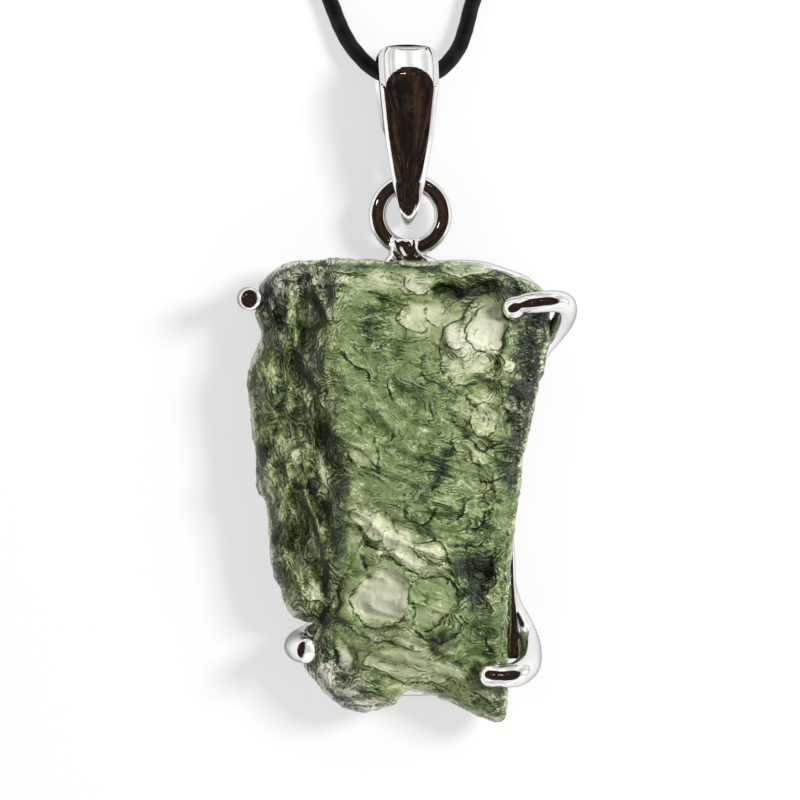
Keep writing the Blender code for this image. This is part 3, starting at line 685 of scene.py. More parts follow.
# Setting
FRAME_PATH = [
    (0.30, 8.35), (2.60, 8.45), (5.15, 8.43), (7.10, 7.90), (8.85, 7.15), (9.55, 5.90),
    (9.20, 3.90), (8.45, 1.90), (7.80, -0.20), (7.45, -3.20), (7.15, -6.60), (6.90, -10.00),
    (6.70, -13.20), (6.75, -16.40), (6.95, -19.20), (6.35, -21.20), (4.40, -22.16),
    (1.80, -22.38), (-1.00, -22.36), (-3.60, -21.90), (-5.40, -20.60), (-6.05, -18.30),
    (-6.90, -15.80), (-8.20, -13.40), (-8.80, -10.00), (-9.40, -6.00), (-9.90, -2.00),
    (-9.70, 1.50), (-9.25, 4.60), (-8.70, 6.90), (-7.10, 8.05), (-4.00, 8.40),
]
FRAME_SECTION = [
    (-0.50, 0.02), (0.50, 0.02), (0.63, 0.12), (0.69, 0.34), (0.70, 0.62), (0.64, 0.92),
    (0.48, 1.15), (0.26, 1.26), (0.0, 1.30), (-0.26, 1.26), (-0.48, 1.15), (-0.64, 0.92),
    (-0.70, 0.62), (-0.69, 0.34), (-0.63, 0.12),
]
RING_CENTRE = (0.28, 12.42)
RING_RADIUS = 2.42
RING_WIRE = 1.28
RING_SQUARENESS = 0.60
SEAT_SECTIONS = [
    (8.70, 0.30, 1.95, 0.10, 2.40), (8.86, 0.30, 1.95, 0.10, 2.78), (9.20, 0.28, 1.85, 0.12, 2.86),
    (9.55, 0.03, 1.34, 0.35, 2.88), (9.95, -0.20, 1.12, 0.85, 2.89), (10.40, -0.24, 1.25, 1.00, 2.88),
    (10.74, -0.26, 1.32, 1.15, 2.74),
]
SEAT_FURROW = 0.22
SEAT_FURROW_X = 0.25
SEAT_FURROW_WIDTH = 0.35
SEAT_RIPPLE = 0.05
SEAT_RIPPLES = 9.0
# The claws from the frame to their tips: x, y, z and radius. The two at the left end upward.
PRONGS = {
    "prong_top_left": [
        (-9.40, 6.00, 0.66, 0.55), (-10.60, 6.15, 0.72, 0.60), (-11.45, 6.25, 1.35, 0.74),
        (-11.62, 6.26, 3.80, 0.85), (-11.55, 6.22, 4.70, 0.86), (-11.40, 6.18, 5.35, 0.84),
    ],
    "prong_top_right": [
        (7.95, -0.90, 0.66, 0.55), (8.72, 0.20, 0.70, 0.58), (9.45, 1.60, 0.82, 0.66),
        (10.18, 2.80, 1.20, 0.72), (10.95, 3.80, 2.00, 0.78), (11.50, 4.60, 3.20, 0.80),
        (11.70, 5.30, 4.60, 0.82), (11.50, 5.85, 5.70, 0.82), (10.70, 6.02, 6.30, 0.80),
        (9.50, 5.92, 6.45, 0.80), (8.75, 5.80, 6.34, 0.79), (8.38, 5.70, 6.24, 0.75),
        (8.02, 5.58, 6.12, 0.84), (7.72, 5.46, 6.00, 0.87),
    ],
    "prong_bottom_left": [
        (-6.10, -17.60, 0.66, 0.55), (-7.20, -18.40, 0.78, 0.66), (-7.95, -19.00, 1.50, 0.84),
        (-8.10, -19.30, 2.80, 0.92), (-7.95, -19.42, 3.90, 0.98), (-7.62, -19.50, 4.80, 1.00),
        (-7.25, -19.55, 5.45, 0.94),
    ],
    "prong_bottom_right": [
        (6.75, -11.40, 0.66, 0.50), (7.30, -12.80, 0.72, 0.56), (7.46, -14.60, 0.88, 0.62),
        (7.80, -16.30, 1.18, 0.72), (8.42, -17.60, 1.60, 0.80), (8.90, -18.80, 2.15, 0.86),
        (9.06, -19.80, 3.30, 0.90), (8.86, -20.70, 4.75, 0.93), (8.10, -21.25, 5.75, 0.92),
        (7.20, -21.38, 5.98, 0.88), (6.86, -21.38, 5.98, 0.82), (6.50, -21.36, 5.90, 0.90),
        (6.05, -21.30, 5.75, 0.93),
    ],
}
# How round each claw's tip is, from 0 for flat to 1 for a half-ball
CLAW_CAPS = {
    "prong_top_left": 0.28, "prong_top_right": 0.8, "prong_bottom_left": 0.28, "prong_bottom_right": 0.8,
}
CLAW_SIDES = 40
CLAW_STEP = 0.18
# The flat root of the lower right claw, beside the stone: y, inner x, outer x and top
CLAW_ROOT = [
    (-10.40, 7.30, 7.60, 1.15), (-11.50, 7.40, 7.82, 1.22), (-13.00, 7.50, 7.92, 1.34),
    (-14.60, 7.62, 7.96, 1.52), (-16.00, 7.62, 8.10, 1.88), (-17.20, 7.62, 8.38, 2.26),
    (-18.20, 7.62, 8.60, 2.62), (-19.10, 7.60, 8.66, 2.95), (-19.80, 7.56, 8.55, 3.18),
    (-20.25, 7.50, 8.20, 3.30),
]
ROOT_LEDGE_X = 6.90  # its lower part reaches further in, under the stone
ROOT_LEDGE_TOP = 1.20
ROOT_FOOT = 0.45
ROOT_LEDGE_DROP = 0.02
ROOT_EDGE = (0.03, 0.01)  # the soft edges beside the ledge, across and down
ROOT_SOFTENING = [(0.12, -0.3), (0.05, -0.08), (-0.06, 0.0)]  # its outer edge, from the outer x and the top
ROOT_STEP = 0.3
FRAME_STEP = 0.45
RING_STEPS = 120
RING_SIDES = 32
SEAT_SIDES = 48
SEAT_SQUARENESS = 0.6
SOLDER_GRID = 0.06
SOLDER_SMOOTHING = 4
WIRE_CREASE = 40  # in degrees: sharper edges than this stay sharp
# The stone is kept clear of these simpler lines along the wires
CLEAR_STEP = 0.25
CLEAR_FRAME_Z = 0.65
CLEAR_FRAME_RADIUS = 0.67
CLEAR_REACH = 1.5


def curve(points, spacing, closed=False):
    """A smooth curve through the points, with its own points about one spacing apart."""
    return evenly(smooth_path(points, closed), closed, spacing)


def frame_mesh():
    path = curve(FRAME_PATH, FRAME_STEP, closed=True)
    runs = np.roll(path, -1, axis=0) - np.roll(path, 1, axis=0)
    runs /= np.linalg.norm(runs, axis=1)[:, None]
    rings = []
    for (x, y), (run_x, run_y) in zip(path, runs):
        rings.append([(x - run_y * across, y + run_x * across, z) for across, z in FRAME_SECTION])
    return loft_mesh(rings, closed=True)


def squared(angle, squareness):
    """A place on a circle whose sides are flattened."""
    c, s = math.cos(angle), math.sin(angle)
    return math.copysign(abs(c) ** squareness, c), math.copysign(abs(s) ** squareness, s)


def ring_mesh():
    section = [squared(turn, RING_SQUARENESS) for turn in full_turn(RING_SIDES)]
    rings = []
    for angle in full_turn(RING_STEPS):
        ring = []
        for across, tall in section:
            reach = RING_RADIUS + RING_WIRE / 2 * across
            x = RING_CENTRE[0] + reach * math.cos(angle)
            y = RING_CENTRE[1] + reach * math.sin(angle)
            ring.append((x, y, HINGE_Z + RING_WIRE / 2 * tall))
        rings.append(ring)
    return loft_mesh(rings, closed=True)


def seat_mesh():
    """The flared post of solder from the frame up round the bottom of the ring."""
    rings = []
    for y, middle, half, low, high in smooth_path(SEAT_SECTIONS, closed=False, steps=6):
        ring = []
        for turn in full_turn(SEAT_SIDES):
            across, tall = squared(turn, SEAT_SQUARENESS)
            x = half * across
            furrow = SEAT_FURROW * math.exp(-(((x - SEAT_FURROW_X) / SEAT_FURROW_WIDTH) ** 2))
            furrow += SEAT_RIPPLE * math.sin(SEAT_RIPPLES * x + 2.0 * (y - SEAT_SECTIONS[0][0]))
            z = (low + high) / 2 + (high - low) / 2 * tall - furrow * max(tall, 0.0)
            ring.append((middle + x, y, z))
        rings.append(ring)
    return loft_mesh(rings, closed=False)


def claw_root_mesh():
    rings = []
    edge, drop = ROOT_EDGE
    for y, inner, outer, top in curve(CLAW_ROOT, ROOT_STEP):
        ledge = min(ROOT_LEDGE_TOP, top - ROOT_LEDGE_DROP)
        rings.append([
            (ROOT_LEDGE_X, y, ROOT_FOOT), (outer, y, ROOT_FOOT),
            *[(outer + out, y, top + up) for out, up in ROOT_SOFTENING],
            (inner + edge, y, top), (inner, y, top - drop),
            (inner, y, ledge), (ROOT_LEDGE_X, y, ledge - drop),
        ])
    return loft_mesh(rings, closed=False)


def build_setting(material):
    """The frame with its claws, and the ring soldered to its seat, all of polished silver."""
    meshes = [frame_mesh(), claw_root_mesh()]
    for name, points in PRONGS.items():
        line = curve(points, CLAW_STEP)
        meshes.append(wire_mesh(line[:, :3], line[:, 3], CLAW_SIDES, CLAW_CAPS[name]))
    mesh = joined(meshes)
    piece("frame_and_claws", mesh, material, "pendant", ["back_frame", *PRONGS], sharp=WIRE_CREASE)
    mesh = remeshed(joined([ring_mesh(), seat_mesh()]), SOLDER_GRID, SOLDER_SMOOTHING)
    return piece("ring_and_seat", mesh, material, "pendant", ["jump_ring", "ring_seat"])


# Stone
STONE_OUTLINE = [
    (-10.66, 7.42), (-9.47, 8.54), (-8.03, 9.06), (-5.00, 9.20), (-0.50, 9.02),
    (3.50, 8.97), (6.10, 8.50), (8.50, 7.80), (10.20, 6.91), (10.60, 5.60),
    (10.60, 4.00), (10.17, 1.57), (9.69, -0.50), (9.28, -2.57), (8.64, -5.40),
    (8.40, -7.50), (8.00, -10.06), (7.85, -11.72), (7.57, -15.36), (7.49, -19.59),
    (7.41, -24.13), (6.70, -24.88), (5.89, -24.69), (4.30, -24.10), (3.11, -23.41),
    (0.90, -22.80), (-0.17, -22.70), (-0.97, -23.69), (-2.16, -23.98), (-3.36, -24.25),
    (-5.19, -23.53), (-6.62, -22.06), (-7.55, -20.60), (-7.05, -19.10), (-6.62, -17.75),
    (-7.97, -17.32), (-9.06, -16.16), (-9.25, -15.13), (-9.95, -13.60), (-10.18, -10.59),
    (-10.45, -8.70), (-11.05, -7.70), (-11.15, -5.11), (-11.45, -2.34), (-11.66, 0.80),
    (-10.85, 3.00), (-10.82, 4.23), (-11.20, 5.19), (-10.80, 6.30),
]
STONE_HEART = (-1.0, -7.0)
STONE_RIM_Z = 3.10
RIM_ROUND = 1.30
FRONT_RIM_RISE = 1.65
FRONT_CROWN = 2.55
FRONT_CROWN_REACH = 8.5
BACK_RIM_DROP = 1.62
BACK_BULGE = 1.15
BACK_BULGE_START = 2.2
BACK_BULGE_REACH = 6.0
OUTLINE_SPACING = 0.19
FRONT_RINGS = 118
BACK_RINGS = 36
RING_CROWDING = 1.3  # rings lie closer together towards the edge as this grows

# Dishes in the face: x, y, half-widths, depth
DISHES = [
    (-1.95, -15.75, 2.15, 1.95, 0.45), (1.75, -16.05, 1.75, 2.05, 0.42),
    (5.95, 4.30, 1.45, 2.05, 0.36), (2.10, 4.60, 2.30, 1.60, 0.30),
    (4.90, 0.40, 2.00, 1.70, 0.32), (-7.60, 5.20, 1.80, 1.40, 0.35),
    (-8.60, -2.60, 1.50, 2.00, 0.40), (-7.70, -9.60, 1.40, 1.90, 0.40),
    (-7.00, -14.40, 1.30, 1.40, 0.35), (4.90, -21.00, 1.60, 1.20, 0.25),
    (-4.70, -20.40, 1.00, 1.60, 0.40), (5.60, -12.80, 1.20, 1.80, 0.30),
    (-1.20, -1.20, 2.60, 3.20, 0.22),
]
SMOOTH_DISHES = DISHES[:4]
DISH_FLOOR = 0.70
DISH_LIP = 1.18
# Lumps on the face: x, y, half-widths, height
LUMPS = [
    (-2.60, -10.50, 1.60, 1.00, 0.16), (0.60, -12.30, 1.60, 0.75, 0.12),
    (-0.60, -20.60, 3.00, 1.30, 0.30), (-6.40, 2.10, 1.60, 2.20, 0.40),
    (-7.60, -6.20, 1.50, 1.70, 0.35), (8.30, -1.60, 0.90, 2.00, 0.30),
    (7.30, -7.40, 0.90, 1.70, 0.30), (2.40, -7.20, 2.00, 2.40, 0.28),
]
# Ridges on the face: the points each runs through, its width and its height
RIDGES = [
    ([(-5.2, 7.2), (-5.4, 2.6), (-4.7, -2.5), (-4.2, -7.5), (-4.8, -12.5), (-4.5, -16.8)], 0.9, 0.60),
    ([(-6.2, -18.2), (-3.6, -18.1), (-1.2, -18.5), (1.2, -19.3), (3.4, -18.9)], 0.6, 0.45),
    ([(3.6, -13.4), (4.4, -15.4), (4.2, -17.6), (2.6, -19.0)], 0.6, 0.35),
    ([(6.9, 8.1), (7.6, 3.6), (7.0, -0.6), (6.6, -5.0), (6.3, -9.4)], 0.8, 0.40),
    ([(4.6, 7.2), (3.3, 5.6), (3.2, 3.4), (4.3, 1.6)], 0.6, 0.38),
    ([(-9.6, 8.2), (-4.6, 8.5), (0.4, 8.2), (4.4, 8.1), (8.6, 6.9)], 0.6, 0.35),
]
# Grooves cut below the face, as ridges with a depth
GROOVES = [
    ([(2.6, 6.9), (5.0, 7.2), (8.2, 7.2)], 0.55, 0.60),
    ([(-3.9, 2.2), (-2.4, 0.8)], 0.35, 0.30),
    ([(-0.9, 0.6), (-0.7, -0.9)], 0.35, 0.30),
    ([(-6.5, -17.9), (-5.1, -16.6), (-4.9, -14.6)], 0.55, 0.50),
]
HOLLOWS = [(3.4, 0.42), (1.7, 0.24)]
HOLLOW_LEVEL = 0.6
HOLLOW_STEEPNESS = 2.4
SLANT = 0.22  # how far the hollows lean
ROUGH_SIDE_X = -4.9
ROUGH_SIDE_FADE = 1.5
ROUGH_SIDE_GAIN = 1.5
RELIEF_FADE = 1.6
RELIEF_SLOPE = 1.4
BACK_RELIEF = 0.5
FACE_LAYER = 0.5
BACK_LAYER = 7.5
# The edge's crumple and the face's finer hollows: size and depth
EDGE_CRUMPLE = [(1.6, 0.16), (0.7, 0.10), (0.35, 0.06)]
SMALL_HOLLOWS = [(0.95, 0.10), (0.50, 0.05)]
# The skin steps down in thin layers, whose edges follow the relief
LAYER_HEIGHT = 0.17
LAYER_STRENGTH = 0.55
LAYER_EDGE = 0.28
LAYER_WANDER = 1.2
FINE_TRACE = 0.24  # traces up to this width are drawn as sharp lines
FINE_TRACE_TONE = 0.25
WIDE_TRACE_TONE = 0.85
LINE_REACH = 0.7
LINE_TAPER = 0.7
PATCH_LINE_TONE = 0.55  # patches paler than this are outlined
# The way the key lamp's light crosses the face, for the shade and highlight painted on the layers' edges
LIGHT_DIRECTION = (0.94, 0.34)
STONE_CLEARANCE = 0.03

# Small ridges (relief above 0) and grooves of the face, each with a tone of painted light where pale (1) and
# painted shade where dark (-1):
# the points it runs through, its width, its relief and its tone
TRACES = [
    ([(-8.0, 4.0), (-7.7, 2.0), (-6.9, 0.2), (-6.6, -2.0), (-6.0, -3.4)], 0.55, -0.22, -0.7),
    ([(-6.0, -3.4), (-5.2, -5.2), (-4.9, -7.8), (-5.5, -9.4)], 0.60, -0.22, -0.9),
    ([(-5.0, -10.8), (-5.0, -12.2)], 0.40, -0.12, -1.0),
    ([(-5.4, -12.6), (-5.8, -14.2)], 0.22, -0.12, -0.9),
    ([(-6.2, -14.3), (-5.9, -16.0), (-5.8, -17.6)], 0.32, -0.18, -0.9),
    ([(-4.8, -14.3), (-4.95, -15.3), (-4.8, -16.6), (-4.9, -17.5)], 0.16, -0.12, -0.9),
    ([(-9.3, 4.6), (-9.1, 3.4)], 0.12, -0.08, -0.8),
    ([(-7.0, -9.6), (-6.9, -10.6), (-7.4, -11.8)], 0.20, -0.12, -0.8),
    ([(2.2, 6.70), (3.2, 7.0), (4.4, 6.8)], 0.30, -0.20, -2.0),
    ([(4.9, 7.0), (6.2, 7.15), (7.9, 6.9)], 0.52, -0.25, -2.6),
    ([(5.0, 7.6), (6.0, 8.05), (7.9, 7.9), (8.0, 6.7)], 0.12, -0.10, -1.3),
    ([(-0.6, 5.9), (-2.2, 5.5), (-2.6, 4.2), (-1.6, 3.2), (-0.9, 2.2)], 0.48, -0.12, -0.6),
    (
        [(4.5, 6.5), (4.0, 5.1), (3.0, 4.4), (2.5, 3.3), (2.3, 1.6), (2.9, 0.1), (3.9, -1.0)],
        0.17, -0.13, -0.8,
    ),
    ([(3.9, -1.0), (5.0, 0.0), (6.3, 1.3), (6.8, 2.4), (7.5, 4.2)], 0.15, -0.12, -0.7),
    (
        [(6.0, 5.6), (5.0, 5.3), (4.55, 4.2), (4.6, 3.0), (5.2, 2.1), (6.2, 2.3), (7.0, 2.9)],
        0.12, -0.12, -0.8,
    ),
    ([(4.3, 5.9), (4.2, 4.6), (4.3, 3.4), (4.8, 2.4)], 0.12, 0.10, 0.3),
    ([(1.3, 2.0), (1.0, 1.0), (1.5, 0.2), (2.6, -0.4), (3.7, -1.3)], 0.20, -0.13, -0.8),
    ([(-0.2, 0.3), (0.4, -0.3), (1.4, -0.8)], 0.15, -0.12, -0.8),
    ([(3.2, -1.8), (3.6, -2.6), (4.2, -3.4)], 0.16, -0.12, -0.7),
    ([(4.2, -3.9), (5.2, -4.7), (6.6, -4.7), (7.2, -4.4)], 0.13, -0.13, -0.8),
    ([(3.0, -5.0), (2.8, -6.2), (2.2, -7.2), (1.3, -8.3)], 0.30, -0.12, -0.7),
    ([(-0.15, -8.8), (-0.1, -9.8), (0.7, -10.1), (1.8, -9.5), (2.1, -8.7)], 0.12, -0.16, -1.6),
    ([(4.0, -8.6), (3.8, -9.8), (3.2, -10.6)], 0.09, -0.08, -1.1),
    ([(5.8, -9.6), (5.3, -10.4), (4.7, -10.9)], 0.20, -0.15, -1.0),
    ([(4.9, -7.1), (6.3, -7.4), (7.2, -6.9), (8.0, -7.7)], 0.11, -0.12, -1.0),
    ([(3.3, -12.1), (4.4, -12.0), (5.4, -11.9), (6.0, -11.3)], 0.12, -0.12, -1.0),
    ([(0.2, -14.4), (1.4, -14.5), (2.9, -14.3), (3.5, -15.3), (3.3, -16.5)], 0.12, -0.12, -0.9),
    ([(3.3, -16.5), (2.5, -17.6), (1.5, -17.9), (0.6, -17.4)], 0.12, -0.12, -1.0),
    ([(-3.9, -14.8), (-4.1, -16.2), (-3.3, -17.5), (-1.7, -18.0), (-0.3, -17.7)], 0.17, -0.14, -1.0),
    ([(-0.3, -17.7), (0.5, -18.0), (1.5, -18.6), (3.3, -18.5), (4.2, -17.4)], 0.14, -0.12, -0.9),
    ([(-3.3, -12.6), (-3.2, -14.3)], 0.16, -0.12, -1.1),
    ([(-4.7, -14.0), (-4.1, -13.9)], 0.14, -0.10, -0.8),
    ([(-1.8, -12.7), (-0.7, -13.6), (0.4, -14.1), (1.4, -14.3)], 0.16, -0.14, -1.1),
    ([(-3.2, -11.6), (-2.0, -12.2), (-1.0, -12.4), (-0.2, -12.7)], 0.16, -0.12, -0.9),
    ([(-2.0, -12.45), (-0.7, -12.9), (0.5, -13.4)], 0.20, 0.20, 1.3),
    ([(0.7, -12.3), (1.8, -12.0), (2.6, -12.4)], 0.18, 0.12, 0.6),
    (
        [(-4.0, -9.9), (-2.9, -9.6), (-1.6, -9.4), (-0.9, -9.9), (-0.3, -11.0), (0.3, -12.0)],
        0.09, -0.04, -0.35,
    ),
    ([(-3.6, -10.9), (-3.1, -11.8), (-2.2, -11.9), (-1.6, -11.3)], 0.12, -0.08, -0.7),
    ([(1.4, -15.6), (1.5, -16.2), (1.9, -16.2)], 0.12, -0.05, -1.0),
    ([(0.2, -14.4), (0.3, -15.6), (0.6, -16.5), (0.3, -17.5)], 0.12, -0.08, -0.8),
    ([(0.7, -11.75), (1.8, -11.6), (2.7, -11.9), (3.1, -12.8), (3.1, -14.0)], 0.09, -0.08, -0.9),
    ([(1.0, -13.0), (2.0, -12.8), (2.8, -13.5)], 0.20, 0.15, 0.9),
    ([(-5.6, -18.8), (-5.1, -20.2), (-4.5, -21.6)], 0.20, -0.18, -1.1),
    ([(-3.2, -21.8), (-2.3, -22.0)], 0.12, -0.12, -1.2),
    ([(-3.0, -22.3), (-2.0, -22.7)], 0.20, -0.12, -0.9),
    ([(1.6, -22.3), (2.5, -22.7)], 0.18, -0.15, -1.6),
    ([(5.8, -18.6), (6.1, -19.5), (6.6, -20.1)], 0.20, -0.14, -1.0),
    ([(2.0, -19.0), (2.6, -19.9), (4.0, -20.2)], 0.30, -0.12, -0.7),
    ([(-11.3, 2.0), (-9.8, 2.8), (-8.7, 3.9), (-8.1, 5.2)], 0.20, 0.22, 0.9),
    ([(-6.9, -6.8), (-6.2, -7.3), (-6.1, -8.2)], 0.15, 0.12, 0.9),
    ([(-10.7, -7.4), (-9.9, -9.0), (-8.8, -10.2)], 0.20, 0.15, 0.7),
    ([(-5.9, -1.7), (-4.6, -1.6)], 0.18, 0.10, 0.8),
    ([(-4.6, -5.4), (-4.2, -6.4)], 0.22, 0.15, 0.8),
    ([(-5.3, -14.6), (-5.2, -17.0)], 0.18, 0.10, 0.8),
    ([(-4.9, 2.3), (-4.1, 1.4), (-3.4, 0.9), (-2.8, 0.1)], 0.09, -0.15, -2.0),
    ([(-1.25, 0.3), (-1.1, -0.6), (-0.8, -1.6)], 0.10, -0.15, -1.8),
    ([(-5.6, -0.2), (-5.5, -1.2)], 0.10, -0.10, -1.2),
    ([(-2.1, -4.7), (-2.0, -6.0), (-1.9, -7.0)], 0.09, -0.07, -0.8),
    ([(-4.3, -5.0), (-3.7, -6.2)], 0.10, -0.10, -1.3),
    ([(-9.5, 6.3), (-7.9, 6.3), (-6.0, 6.1)], 0.12, 0.10, 0.5),
    ([(-8.9, 7.3), (-8.5, 6.9)], 0.30, -0.12, -1.0),
    ([(-7.7, 8.2), (-7.6, 7.0), (-7.3, 6.4)], 0.13, -0.12, -1.0),
    ([(-5.8, 8.2), (-3.7, 8.0)], 0.14, -0.10, -0.9),
    ([(-3.5, 8.75), (-1.5, 8.75), (0.5, 8.6)], 0.10, -0.06, -1.2),
    ([(0.5, 8.65), (1.5, 8.5), (2.5, 8.3)], 0.20, -0.10, -1.0),
    ([(9.6, 4.2), (9.1, 2.0), (8.9, 0.5), (8.5, -1.2)], 0.80, -0.10, -1.60),
    ([(8.0, -2.6), (7.8, -4.2), (7.4, -6.2), (7.8, -7.2)], 0.65, -0.10, -1.1),
    ([(7.4, 4.0), (7.1, 2.8), (6.6, 1.6)], 0.30, -0.15, -0.7),
]
# Patches of the face: x, y, half-widths, turn in degrees, relief and tone, where a pale tone is painted light
# coming through the glass and a dark one is painted shade
PATCHES = [
    (-8.8, 8.1, 1.4, 0.5, 20, 0.10, 0.6), (-6.2, 7.7, 1.2, 0.7, 0, -0.08, 0.6),
    (-2.5, 7.4, 2.4, 0.6, 0, 0.0, 0.35), (0.9, 7.3, 1.3, 0.7, 0, 0.12, 0.7),
    (4.5, 8.2, 1.8, 0.35, -5, 0.10, 0.7), (-8.5, 4.7, 0.5, 0.8, -25, 0.10, 0.6),
    (0.5, 4.7, 1.3, 1.1, 0, -0.10, 0.6), (2.4, 5.1, 1.1, 0.9, 0, -0.10, 0.6),
    (5.8, 4.0, 1.5, 1.9, 0, 0.0, 1.0), (3.7, 3.6, 0.8, 1.0, 0, 0.10, 0.9),
    (4.6, 1.6, 2.4, 1.9, 20, 0.0, 0.7), (7.5, 1.3, 0.5, 0.35, 30, 0.05, 1.2),
    (7.9, -1.8, 0.45, 0.35, 0, 0.10, 1.5), (5.8, -1.2, 1.1, 0.5, 0, 0.05, 0.6),
    (5.8, -2.9, 0.9, 1.2, 0, 0.12, 0.7), (5.4, -5.3, 0.8, 0.6, 0, 0.10, 0.7),
    (4.0, -4.6, 0.8, 0.6, -20, 0.12, 0.6), (-8.7, -4.8, 0.9, 0.9, 0, 0.08, 0.5),
    (-3.0, -5.2, 1.2, 1.3, 0, 0.05, 0.35), (-7.2, -15.4, 0.8, 0.8, 0, 0.05, 0.7),
    (-8.2, -16.9, 0.5, 0.25, 0, 0.05, 1.0), (-2.5, -10.3, 1.7, 1.0, -18, 0.10, 0.90),
    (-0.5, -11.75, 1.35, 0.8, -38, 0.10, 1.05), (-0.5, -13.0, 1.8, 0.45, -18, 0.08, 1.2),
    (2.0, -12.5, 1.3, 1.0, 0, 0.05, 0.85), (-2.9, -11.6, 1.0, 0.4, -25, -0.06, -0.6),
    (-2.0, -15.8, 2.3, 1.9, 0, 0.0, 1.35), (-1.5, -13.9, 1.2, 0.7, 0, 0.0, 0.40),
    (1.8, -15.9, 1.5, 1.8, 0, 0.0, 0.25), (-1.0, -18.8, 2.6, 0.35, -12, 0.08, 0.7),
    (-4.6, -20.0, 0.4, 1.3, 25, 0.10, 1.2), (-5.9, -21.3, 0.9, 0.7, -45, 0.05, 0.8),
    (-3.0, -23.4, 1.4, 0.4, -10, 0.05, 1.0), (0.2, -22.2, 1.2, 0.5, 0, 0.05, 0.5),
    (4.2, -19.2, 1.3, 0.35, 0, 0.05, 0.5), (6.4, -24.3, 0.8, 0.35, 0, 0.0, 0.7),
    (-10.6, -5.7, 0.55, 1.3, 0, -0.10, -1.2), (-9.2, -11.4, 1.1, 1.3, 0, -0.15, -1.0),
    (-9.0, -14.4, 0.8, 1.4, 25, 0.0, -0.6), (-6.9, -8.0, 0.5, 0.8, 10, -0.10, -1.1),
    (-8.0, -2.6, 0.6, 1.0, 0, 0.0, -0.8), (-9.8, -0.5, 1.0, 1.4, 0, 0.0, -0.6),
    (-10.0, 4.6, 0.7, 0.9, 0, -0.08, -0.8), (-10.3, 6.7, 0.4, 0.5, 0, 0.0, -0.9),
    (4.5, -3.7, 0.5, 0.3, 0, -0.10, -0.9), (6.2, -13.0, 1.1, 1.3, 0, -0.08, -0.4),
    (4.2, -13.4, 1.0, 0.7, 0, -0.08, -0.6), (5.2, -15.8, 0.9, 1.3, -15, -0.12, -0.6),
    (5.3, -21.0, 0.4, 0.5, 0, -0.10, -0.9), (6.3, -23.2, 1.1, 0.5, 0, 0.0, -0.2),
    (-4.8, -22.9, 0.5, 0.3, 0, 0.0, -0.7), (-8.0, -7.0, 3.0, 8.5, 0, 0.0, 0.16),
    (-8.0, 7.4, 2.4, 1.2, 0, 0.0, 0.20), (0.5, -4.5, 3.2, 3.0, 0, 0.0, -0.12),
    (0.4, -20.6, 3.6, 1.3, -6, 0.0, 0.60), (5.2, -14.0, 1.8, 2.3, 0, 0.0, -0.78),
    (-0.8, -11.6, 3.2, 1.5, -20, 0.0, 0.45), (-5.2, -21.8, 1.6, 1.4, -40, 0.0, 0.55),
    (5.6, -18.2, 1.7, 1.5, 0, 0.0, -0.55), (1.6, 4.4, 2.6, 1.6, 0, 0.0, 0.22),
    (-1.5, 7.3, 4.0, 0.8, 0, 0.0, 0.30), (1.8, -15.2, 1.2, 0.8, 0, 0.0, -0.30),
    (1.7, -16.9, 1.1, 0.7, 0, 0.0, 0.15),
]
PATCH_CORE = 0.55
PATCH_FADE = 0.75
# Painted light along the thin rim, where light comes through the edge
RIM_PALE = 0.55
RIM_PALE_REACH = 0.55
BENDS = [(2.6, 0.60), (0.9, 0.30), (0.4, 0.12)]  # size and reach of the bends in every feature's edge
# Which part of the noise each use reads, so that none looks like its neighbour
BEND_X_LAYER = 31.3
BEND_Y_LAYER = 41.7
WANDER_LAYER = 51.0
WANDER_SIZE = 3.1
# How far the skin's hollows are drawn out in x and y: on the face, and upright on the rough left side
FACE_STRETCH = (1.55, 0.62)
UPRIGHT_STRETCH = (0.62, 1.70)
CALM = 0.8  # how much smoother the floors of the smooth dishes are
BROKEN_REACH = 1.5  # the skin is broken this many widths round a trace
# Lines of painted shade drawn round the lower left of each pale patch, the side away from the light
PATCH_LINE_ANGLES = np.radians(np.arange(130, 351, 12))
PATCH_LINE_STRENGTH = 0.8
STRONGEST_LINE = 1.3
LINE_FADE_FROM = 0.4
LINE_FADE_OVER = 0.3
LIT_STEEPNESS = 0.6
# The back counts as this much further from the rim, so that the rim's strokes stay in front
BACK_FROM_RIM = 2.0
BACK_NORMAL = -0.2
RIM_PALE_RIGHT_END = 7.0
UPRIGHT_OFFSET = 0.3
UPRIGHT_ROUGHNESS = 0.55
BROKEN_ROUGHNESS = 0.45
LEAST = 1e-6  # keeps divisions from reaching zero
LEAST_SLOPE = 1e-3  # a gentler slope has no side that faces the light


def nearest_on_run(places, start, end):
    """How far along a straight run each place's nearest point is, from 0 to 1, and the way from it."""
    run = end - start
    along = np.clip(((places - start) @ run) / max(run @ run, LEAST**2), 0.0, 1.0)
    return along, places - start - along[:, None] * run


def distance_to_line(xy, points, closed):
    """The shortest distance from each place to a line of points."""
    line = np.array(points, float)
    ends = np.vstack([line[1:], line[:1]]) if closed else line[1:]
    best = np.full(len(xy), np.inf)
    for start, end in zip(line, ends):
        best = np.minimum(best, np.linalg.norm(nearest_on_run(xy, start, end)[1], axis=1))
    return best


def noise_at(places):
    return np.array([noise.noise(Vector(place)) for place in places])


def layered(xy, size_x, size_y, layer):
    """Noise over the face, stretched to a size in each direction."""
    third = np.full(len(xy), layer)
    return noise_at(np.column_stack([xy[:, 0] / size_x, xy[:, 1] / size_y, third]))


def bent(xy):
    """The places moved about by noise, so that no feature keeps an even edge."""
    moved = xy.copy()
    for k, (size, reach) in enumerate(BENDS):
        moved[:, 0] += reach * layered(xy, size, size, BEND_X_LAYER + k)
        moved[:, 1] += reach * layered(xy, size, size, BEND_Y_LAYER + k)
    return moved


def rim_round(depth):
    share = np.minimum(depth / RIM_ROUND, 1.0)
    return np.sqrt(1.0 - (1.0 - share) ** 2)


